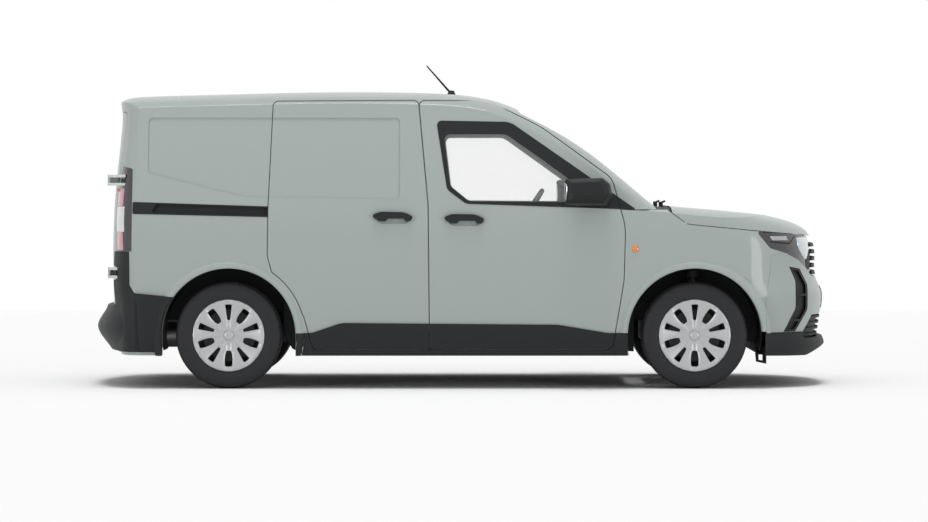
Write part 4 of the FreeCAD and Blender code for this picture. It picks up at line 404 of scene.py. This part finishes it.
trim_surface, panel_surface = surface_of("door_trim_right"), surface_of("side_panel_right")
nose = surface_of("front_bumper", "grille")
for side, mirror in SIDES:
    # The mirror's lower shell, laid in a colour that holds painted shade of its underside.
    laid("mirror_base_with_painted_shade_" + side, mirror_base_with_painted_shade, "door_" + side, trim_surface, SIDE_LOOK,
         MIRROR_BASE_AND_SHADE, lift=0.003, mirror=mirror)
    laid("sill_end_" + side, black, "root", panel_surface, SIDE_LOOK, SILL_END,
         lift=0.0015, mirror=mirror)
for side, mirror in SIDES:
    laid("mirror_glass_" + side, mirror_glass, "door_" + side, trim_surface, BACK_LOOK, MIRROR_ROWS,
         mirror=mirror)
laid("plate_holder", black, "root", nose, FRONT_LOOK,
     [(z, -HOLDER_HALF, HOLDER_HALF) for z in (PLATE_LOW - HOLDER_RIM, PLATE_HIGH + HOLDER_RIM)], lift=0.003)
laid("front_plate", plate_white, "root", nose, FRONT_LOOK,
     [(z, -PLATE_HALF, PLATE_HALF) for z in (PLATE_LOW, PLATE_HIGH)], lift=0.0045)
laid("high_brake_light", red_lens, "root", surface_of("roof"), BACK_LOOK, BRAKE_LIGHT, lift=0.003,
     dome=0.003)
laid("rear_handle", black, "rear_leaf_right", surface_of("rear_door_right"), BACK_LOOK,
     REAR_HANDLE, lift=0.006, dome=0.014)


# Cab.
# A moulded dashboard, a leather-covered steering wheel, and two seats: foam pads under woven cloth, with
# side bolsters and stitched furrows, on a plastic-clad base, with a head restraint on two steel posts.

cab_plastic = new_finish("cab_plastic", (0.03, 0.031, 0.033), 0.6)
leather = new_finish("wheel_leather", (0.022, 0.022, 0.023), 0.5)
cloth = new_finish("seat_cloth", (0.04, 0.041, 0.045), 0.9)
chrome = new_finish("post_steel", (0.55, 0.55, 0.56), 0.2, Metallic=1.0)
uneven(cab_plastic, scale=800.0, bump=0.15, depth=0.0004, gloss=0.1)
uneven(leather, scale=500.0, bump=0.25, depth=0.0006, gloss=0.15)
uneven(chrome, scale=300.0, bump=0.02, depth=0.0002)
dress(cab_plastic, "cab_plastic", "dashboard")
dress(leather, "cab_plastic", "steering_wheel")

start = Value(cloth.node_tree, None)
place = start.node("ShaderNodeTexCoord", output=OBJECT_PLACE)
warp = start.node("ShaderNodeTexWave", {"bands_direction": "Y"}, Vector=place, Scale=260.0)
weft = start.node("ShaderNodeTexWave", {"bands_direction": "Z"}, Vector=place, Scale=260.0)
weave = warp * weft
threads = {"stops": ((0.0, (0.026, 0.027, 0.031, 1)), (1.0, (0.055, 0.056, 0.062, 1)))}
feed(cloth, Normal=start.node("ShaderNodeBump", Strength=0.5, Distance=0.0006, Height=weave),
     Base_Color=start.node("ShaderNodeValToRGB", threads, Fac=weave))

PAD_CUTS = 22
PAD_POWER = 6.0
UPPER_SHARE = 0.3
CROWN_RISE = 0.010
BOLSTER_RISE = 0.022
BOLSTER_SHARES = (0.58, 0.22)
BOLSTER_TAPER = 0.3
CROSS_SEAM_SHARE = 0.3
FURROW_DEPTH = 0.006
FURROW_SHARE = 0.035
SEAT_Y = 0.372
PADS = (("cushion", (0.100, 0.640), (0.232, 0.240, 0.074), 4.0),
        ("back", (-0.125, 0.925), (0.240, 0.232, 0.058), 105.5),
        ("rest", (-0.204, 1.268), (0.088, 0.125, 0.044), 97.0))
POST_X, POST_Y, POST_RADIUS = -0.206, 0.06, 0.007
POST_LOW, POST_HIGH = 1.10, 1.24
POST_NECK_SHARE = 0.6
BASE_HALF = (0.185, 0.168, 0.130)
BASE_X, BASE_Z = 0.100, 0.432


def held(value):
    """A value kept between 0 and 1."""
    return min(1.0, max(0.0, value))


def pad_mesh(name, half, bolster):
    """A stuffed block lying flat: a rounded box with raised sides and stitched furrows on its upper face."""
    shape = bmesh.new()
    bmesh.ops.create_cube(shape, size=2.0)
    bmesh.ops.subdivide_edges(shape, edges=shape.edges[:], cuts=PAD_CUTS, use_grid_fill=True)
    seam, run = BOLSTER_SHARES
    for vert in shape.verts:
        x, y, z = vert.co
        stretch = sum(abs(c) ** PAD_POWER for c in (x, y, z)) ** (-1 / PAD_POWER)
        x, y, z = x * stretch, y * stretch, z * stretch
        rise = crown = 0.0
        if z > UPPER_SHARE and bolster:
            crown = CROWN_RISE * (1 - x * x) * (1 - y * y)
            rise = BOLSTER_RISE * held((abs(y) - seam) / run) * max(0.0, 1 - abs(x)) ** BOLSTER_TAPER
            seams = [abs(abs(y) - seam)]
            if abs(y) < seam:
                seams += [abs(x - CROSS_SEAM_SHARE), abs(x + CROSS_SEAM_SHARE)]
            for off in seams:
                rise -= FURROW_DEPTH * math.exp(-(off / FURROW_SHARE) ** 2)
        vert.co = (x * half[0], y * half[1], z * half[2] + (rise + crown) * held(z))
    mesh = bpy.data.meshes.new(name)
    shape.to_mesh(mesh)
    shape.free()
    mesh.shade_smooth()
    return mesh


def rod_mesh(name, radius, low, high, steps=20):
    """An upright rod with its ends rounded over."""
    neck, drop = radius * POST_NECK_SHARE, radius * (1 - POST_NECK_SHARE)
    rings = [(neck, low), (radius, low + drop), (radius, high - drop), (neck, high)]
    points = [(r * math.cos(math.tau * k / steps), r * math.sin(math.tau * k / steps), z)
              for r, z in rings for k in range(steps)]
    faces = []
    for i in range(0, (len(rings) - 1) * steps, steps):
        for k in range(steps):
            n = (k + 1) % steps
            faces.append((i + k, i + n, i + steps + n, i + steps + k))
    last = (len(rings) - 1) * steps
    faces += [tuple(range(steps))[::-1], tuple(range(last, last + steps))]
    mesh = bpy.data.meshes.new(name)
    mesh.from_pydata(points, [], faces)
    mesh.shade_smooth()
    return mesh


def set_down(name, mesh, finish, place, lean=0.0):
    """A piece of the cab in its place, leaning back by some degrees."""
    mesh.transform(Matrix.Translation(place) @ Matrix.Rotation(-math.radians(lean), 4, "Y"))
    return new_piece(name, mesh, finish, "root")


for name, y in (("driver", SEAT_Y), ("passenger", -SEAT_Y)):
    for part, (x, z), half, lean in PADS:
        mesh = pad_mesh(part, half, part != "rest")
        piece = set_down("seat_" + part + "_" + name, mesh, cloth, (x, y, z), lean)
        if part == "cushion":
            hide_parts("seat_" + name)
    for off in (-POST_Y, POST_Y):
        mesh = rod_mesh("seat_post", POST_RADIUS, POST_LOW, POST_HIGH)
        set_down("seat_post_" + name, mesh, chrome, (POST_X, y + off, 0))
    set_down("seat_base_" + name, pad_mesh("seat_base", BASE_HALF, False), cab_plastic,
             (BASE_X, y, BASE_Z))


# Tyres.
# Moulded rubber, 195 mm wide, with rounded sidewalls, a rim ridge, and a road tread of four grooves with
# cross cuts, seated on the wheel's two bead edges.

TREAD_PITCHES = 74
TREAD_DEPTH = 0.0068
TREAD_RADIUS = 0.3075
TREAD_HALF = 0.084
CROWN_DROPS = ((0.0025, 2), (0.0095, 7))
GROOVES = (-0.047, -0.0165, 0.0165, 0.047)
GROOVE_HALF = 0.0042
GROOVE_WALL = 0.0012
RIB_MIDDLE = 0.0155
SHOULDER = 0.052
SHOULDER_STEP = 0.001
SHOULDER_COLUMNS = (0.064, 0.074, 0.080, TREAD_HALF)
CUT_END = 0.0835
CUT_DEPTH_SHARE = 0.75
CROSS_SHARES = (0.0, 0.05, 0.24, 0.29, 0.5, 0.52, 0.56, 0.58)
SHOULDER_CUT_ROWS, RIB_CUT_ROWS = (1, 2), (5, 6)
TREAD_SKEW = 1.6
SIDEWALL = ((0.1960, 0.0790), (0.1985, 0.0845), (0.2045, 0.0880), (0.2085, 0.0905), (0.2125, 0.0900),
            (0.2180, 0.0925), (0.2310, 0.0955), (0.2445, 0.0972), (0.2560, 0.0972), (0.2575, 0.0966),
            (0.2590, 0.0970), (0.2700, 0.0955), (0.2800, 0.0925), (0.2880, 0.0885), (0.2945, 0.0840))

rubber = new_finish("tyre_rubber", (0.020, 0.0205, 0.0225), 0.62, Specular_IOR_Level=0.25)
RUBBER_LEAST, RUBBER_SPREAD = 0.52, 0.18
crumb = Value(rubber.node_tree, None).node("ShaderNodeTexNoise", Scale=420.0, Detail=3.0)
feed(rubber, Roughness=crumb * RUBBER_SPREAD + RUBBER_LEAST)


def crown(across):
    """Radius of the tread surface at a distance from the middle of the tyre."""
    share = min(abs(across) / TREAD_HALF, 1.0)
    radius = TREAD_RADIUS
    for drop, power in CROWN_DROPS:
        radius = radius - drop * share ** power
    return radius


def tread_columns():
    """Places across the tread, each with its own groove depth share, closer at the groove walls."""
    shoulder = [(SHOULDER + SHOULDER_STEP, 0)] + [(across, 0) for across in SHOULDER_COLUMNS]
    columns = [(-across, cut) for across, cut in reversed(shoulder)]
    for middle in GROOVES:
        outer, inner = GROOVE_HALF, GROOVE_HALF - GROOVE_WALL
        columns += [(middle - outer, 0), (middle - inner, 1), (middle + inner, 1), (middle + outer, 0)]
        if middle < GROOVES[-1]:
            columns.append((middle + RIB_MIDDLE, 0))
    return columns + shoulder


def tyre_mesh():
    """The whole tyre: one ring of points per tread step, from bead to bead, joined around the axle."""
    columns = tread_columns()
    rings = []
    for pitch in range(TREAD_PITCHES):
        for k, share in enumerate(CROSS_SHARES):
            turn = (pitch + share) / TREAD_PITCHES * math.tau
            ring = [(r, -across, turn) for r, across in SIDEWALL]
            for across, cut in columns:
                outside = abs(across) > SHOULDER
                crossed = k in SHOULDER_CUT_ROWS and abs(across) < CUT_END if outside else k in RIB_CUT_ROWS
                depth = TREAD_DEPTH if cut else TREAD_DEPTH * CUT_DEPTH_SHARE if crossed else 0.0
                ring.append((crown(across) - depth, across, turn + TREAD_SKEW * abs(across)))
            ring += [(r, across, turn) for r, across in reversed(SIDEWALL)]
            rings.append([Vector((r * math.sin(a), out, r * math.cos(a))) for r, out, a in ring])
    mesh = bpy.data.meshes.new("tyre")
    wide = len(rings[0])
    faces = []
    for k in range(len(rings)):
        here, after = k * wide, (k + 1) % len(rings) * wide
        faces += [(here + j, here + j + 1, after + j + 1, after + j) for j in range(wide - 1)]
    mesh.from_pydata([point for ring in rings for point in ring], [], faces)
    return mesh


def placed(name, mesh, finish, body, slot, *stands_for, place=(0, 0, 0), mirror=False):
    """One piece from a copy of a mesh, moved to its place, riding on a body and standing for CAD nodes."""
    own = mesh.copy()
    turn = Matrix.Scale(-1, 4, (0, 1, 0)) if mirror else Matrix.Identity(4)
    own.transform(Matrix.Translation(place) @ turn)
    if mirror:
        own.flip_normals()
    piece = new_piece(name, own, finish, body)
    if stands_for:
        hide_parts(*stands_for)
    return piece


def smoothed(mesh, degrees=35.0):
    """Shades a mesh smooth, with creases where its faces meet at more than this angle."""
    mesh.shade_smooth()
    shape = bmesh.new()
    shape.from_mesh(mesh)
    for edge in shape.edges:
        edge.smooth = len(edge.link_faces) == 2 and edge.calc_face_angle(0.0) < math.radians(degrees)
    shape.to_mesh(mesh)
    shape.free()
    return mesh


def middle_of(name):
    """Centre of a CAD piece's box."""
    low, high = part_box(name)
    return [(a + b) / 2 for a, b in zip(low, high)]


TYRE_CREASE = 30.0
corners = [(end + "_" + side, mirror) for end in ("front", "rear") for side, mirror in SIDES]
tyre = smoothed(tyre_mesh(), TYRE_CREASE)
for mark, mirror in corners:
    placed("road_tyre_" + mark, tyre, rubber, "roller_" + mark, "tyre", "tyre_" + mark,
           place=middle_of("tyre_" + mark), mirror=mirror)


# Wheels.
# A pressed steel wheel and brake disc behind a moulded silver cover with ten slots in two shapes,
# a domed cap and a thin lip that covers the rim edge.

SLOTS = 10
SLOT_IN, SLOT_OUT = 0.0885, 0.1800
SLOT_HALVES = {"narrow": ((0.0885, 0.0085), (0.1340, 0.0142), (0.1800, 0.0200)),
               "broad": ((0.0885, 0.0120), (0.1100, 0.0200), (0.1400, 0.0232), (0.1650, 0.0222),
                         (0.1800, 0.0205))}
SLOT_ROUND = 0.008
SLOT_END_SHARE = 0.62
SLOT_MOST_SHARE = 0.4
SLOT_STEPS = 4
SLOT_END_STEPS = (0.0, 0.001, 0.003, 0.006)
SPOKE_STEPS = (0.0, 0.0022, 0.0050, 0.0095)
SPOKE_ROOM = 0.03
SPOKE_RISE = 0.0042
SPOKE_EDGE, SPOKE_RAMP = 0.0008, 0.006
RISE_START, RISE_RUN = 0.034, 0.03
RISE_END, RISE_FALL = 0.202, 0.008
COVER_DEPTH = ((0.0, 0.0790), (0.015, 0.0788), (0.0225, 0.0775), (0.0262, 0.0745), (0.0275, 0.0700),
               (0.0300, 0.0700), (0.0320, 0.0720), (0.0500, 0.0705), (0.0700, 0.0698), (0.0885, 0.0715),
               (0.1200, 0.0765), (0.1500, 0.0825), (0.1800, 0.0890), (0.1880, 0.0905), (0.2000, 0.0945),
               (0.2060, 0.0935), (0.2080, 0.0900), (0.2085, 0.0870))
COVER_RINGS = (0.040, 0.060, 0.080, 0.10, 0.105, 0.112, 0.127, 0.135, 0.143, 0.157, 0.165, 0.172, 0.184,
               0.194)
COVER_WALL = 0.0035
COVER_CREASE = 32.0
RIM = ((0.1955, 0.080), (0.1955, -0.080), (0.2020, -0.084), (0.2020, -0.088), (0.1900, -0.086),
       (0.1850, -0.070), (0.1650, -0.040), (0.1650, 0.030), (0.1840, 0.055), (0.1860, 0.076))
WEB = ((0.1660, 0.028), (0.1500, 0.036), (0.1150, 0.030), (0.0800, 0.044), (0.0300, 0.044), (0.0300, 0.038),
       (0.0780, 0.038), (0.1150, 0.024), (0.1500, 0.030), (0.1660, 0.022))
BRAKE = ((0.140, -0.010), (0.140, 0.002), (0.070, 0.002), (0.068, 0.034), (0.010, 0.034), (0.010, -0.009),
         (0.066, -0.009))

silver = new_finish("cover_silver", (0.45, 0.455, 0.47), 0.36, Metallic=0.35, Coat_Weight=0.4,
                    Coat_Roughness=0.2)
rim_steel = new_finish("rim_steel", (0.015, 0.015, 0.016), 0.5, Metallic=0.3)
brake_steel = new_finish("brake_steel", (0.10, 0.10, 0.105), 0.38, Metallic=1.0)
uneven(silver, scale=700.0, bump=0.03, depth=0.0002, gloss=0.08)
uneven(rim_steel, scale=200.0, bump=0.1, depth=0.0004, gloss=0.15)
uneven(brake_steel, scale=90.0, bump=0.1, depth=0.0004, gloss=0.2)


def slot_half(kind, r):
    """Half width of a slot at a radius, drawn in to a rounded end near both ends."""
    half = between(SLOT_HALVES[kind], min(max(r, SLOT_IN), SLOT_OUT))
    reach = held(min(r - SLOT_IN, SLOT_OUT - r) / SLOT_ROUND)
    return half * (SLOT_END_SHARE + (1 - SLOT_END_SHARE) * math.sqrt(1 - (1 - reach) ** 2))


def cover_mesh():
    """The cover's outer skin: rings of points that follow the slots' edges, with no faces in the slots."""
    ends = {SLOT_IN + step for step in SLOT_END_STEPS} | {SLOT_OUT - step for step in SLOT_END_STEPS}
    radii = sorted({r for r, _ in COVER_DEPTH[1:]} | set(COVER_RINGS) | ends)
    verts, faces, rows = [], [], []
    for r in radii:
        row = []
        span = math.tau / SLOTS * r
        fade = held((r - RISE_START) / RISE_RUN) * held((RISE_END - r) / RISE_FALL)
        for k in range(SLOTS):
            kinds = ("narrow", "broad") if k % 2 == 0 else ("broad", "narrow")
            here, there = [slot_half(kind, r) for kind in kinds]
            scale = min(1.0, SLOT_MOST_SHARE * span / max(here, there))
            here, there = here * scale, there * scale
            room = span - here - there
            steps = [step * min(1.0, room / SPOKE_ROOM) for step in SPOKE_STEPS]
            arcs = [-here + 2 * here * j / SLOT_STEPS for j in range(SLOT_STEPS)]
            arcs += [here + step for step in steps] + [here + room / 2]
            arcs += [here + room - step for step in reversed(steps[1:])]
            for arc in arcs:
                inside = min(arc - here, span - there - arc)
                lift = SPOKE_RISE * held((inside - SPOKE_EDGE) / SPOKE_RAMP)
                turn = math.tau * k / SLOTS + arc / r
                row.append(len(verts))
                verts.append((r * math.sin(turn), -between(COVER_DEPTH, r) - lift * fade, r * math.cos(turn)))
        rows.append(row)
    around = len(rows[0])
    per_slot = around // SLOTS
    for i in range(len(radii) - 1):
        slotted = SLOT_IN <= radii[i] and radii[i + 1] <= SLOT_OUT
        for j in range(around):
            if slotted and j % per_slot < SLOT_STEPS:
                continue
            n = (j + 1) % around
            faces.append((rows[i][j], rows[i][n], rows[i + 1][n], rows[i + 1][j]))
    tip = len(verts)
    verts.append((0, -COVER_DEPTH[0][1], 0))
    faces += [(rows[0][(j + 1) % around], rows[0][j], tip) for j in range(around)]
    mesh = bpy.data.meshes.new("wheel_cover")
    mesh.from_pydata(verts, [], faces)
    return mesh


def turned(name, profile, steps=96):
    """A ring or disc turned about the axle from (radius, distance out) pairs."""
    mesh = bpy.data.meshes.new(name)
    count = len(profile)
    turns = [math.tau * k / steps for k in range(steps)]
    verts = [(r * math.sin(turn), -out, r * math.cos(turn)) for turn in turns for r, out in profile]
    faces = []
    for k in range(steps):
        here, after = k * count, (k + 1) % steps * count
        for j in range(count):
            n = (j + 1) % count
            faces.append((here + j, here + n, after + n, after + j))
    mesh.from_pydata(verts, [], faces)
    return mesh


cover = smoothed(cover_mesh(), COVER_CREASE)
behind = (("rim_", smoothed(turned("rim", RIM)), rim_steel),
          ("wheel_web_", smoothed(turned("web", WEB)), rim_steel),
          ("brake_disc_", smoothed(turned("brake", BRAKE)), brake_steel))
for mark, mirror in corners:
    spot, body = middle_of("tyre_" + mark), "roller_" + mark
    piece = placed("cover_" + mark, cover, silver, body, "wheel_silver", "wheel_" + mark, place=spot,
                   mirror=mirror)
    skin = piece.modifiers.new("wall", "SOLIDIFY")
    skin.thickness, skin.offset = COVER_WALL, -1.0
    for name, mesh, finish in behind:
        placed(name + mark, mesh, finish, body, "wheel_silver", place=spot, mirror=mirror)


# Studio.
# A white floor before a white background, under a soft sky that is brightest overhead, one lamp from above
# and two low fills, seen by a long lens from the right-hand side.

PHOTO_LENS = 144.9
SENSOR_WIDTH = 36.0
CAMERA_PLACE = (0.018, -22.43, 1.150)
CAMERA_TILT = math.radians(1.095)
camera = bpy.data.objects.new("camera", bpy.data.cameras.new("camera"))
camera.data.lens = PHOTO_LENS
camera.data.sensor_width = SENSOR_WIDTH
camera.location = CAMERA_PLACE
camera.rotation_euler = (math.pi / 2 - CAMERA_TILT, 0, 0)
bpy.context.collection.objects.link(camera)
bpy.context.scene.camera = camera

FLOOR_HALF = 13.0
floor_mesh = bpy.data.meshes.new("floor")
floor_mesh.from_pydata([(x, y, 0) for x, y in ((-1, -1), (1, -1), (1, 1), (-1, 1))], [], [(0, 1, 2, 3)])
floor_mesh.transform(Matrix.Scale(FLOOR_HALF, 4))
floor = bpy.data.objects.new("floor", floor_mesh)
bpy.context.collection.objects.link(floor)
floor_white = new_finish("floor_white", (0.985, 0.985, 0.985), 1.0, Specular_IOR_Level=0.0)
floor.data.materials.append(floor_white)

HORIZON_LIGHT = 0.08
OVERHEAD_GAIN = 0.66
CAMERA_RAY, GLOSSY_RAY, TRANSMISSION_RAY = 0, 3, 6
HEIGHT_OUTPUT = 2
world = bpy.data.worlds.new("studio")
bpy.context.scene.world = world
world.use_nodes = True
sky = world.node_tree.nodes["Background"]
start = Value(world.node_tree, None)
seen, mirrored, through = [start.node("ShaderNodeLightPath", output=ray)
                           for ray in (CAMERA_RAY, GLOSSY_RAY, TRANSMISSION_RAY)]
shown = start.math("MINIMUM", seen + mirrored + through, 1.0)
toward = start.node("ShaderNodeTexCoord")
height = start.math("MAXIMUM", start.node("ShaderNodeSeparateXYZ", output=HEIGHT_OUTPUT, Vector=toward), 0.0)
lit = height * OVERHEAD_GAIN + HORIZON_LIGHT
world.node_tree.links.new((shown * (1.0 - lit) + lit).socket, sky.inputs["Strength"])
sky.inputs["Color"].default_value = (1, 1, 1, 1)

LAMP_WIDTH = math.radians(20)
LAMPS = (("overhead", 1.37, 3, 0), ("fill_front", 0.82, 88.5, 46), ("fill_rear", 0.82, 88.5, -46))
for name, strength, lean, turn in LAMPS:
    lamp = bpy.data.objects.new(name + "_light", bpy.data.lights.new(name + "_light", "SUN"))
    lamp.data.energy = strength
    lamp.data.angle = LAMP_WIDTH
    lamp.rotation_euler = (math.radians(lean), 0, math.radians(turn))
    bpy.context.collection.objects.link(lamp)

bpy.context.scene.view_settings.view_transform = "Standard"
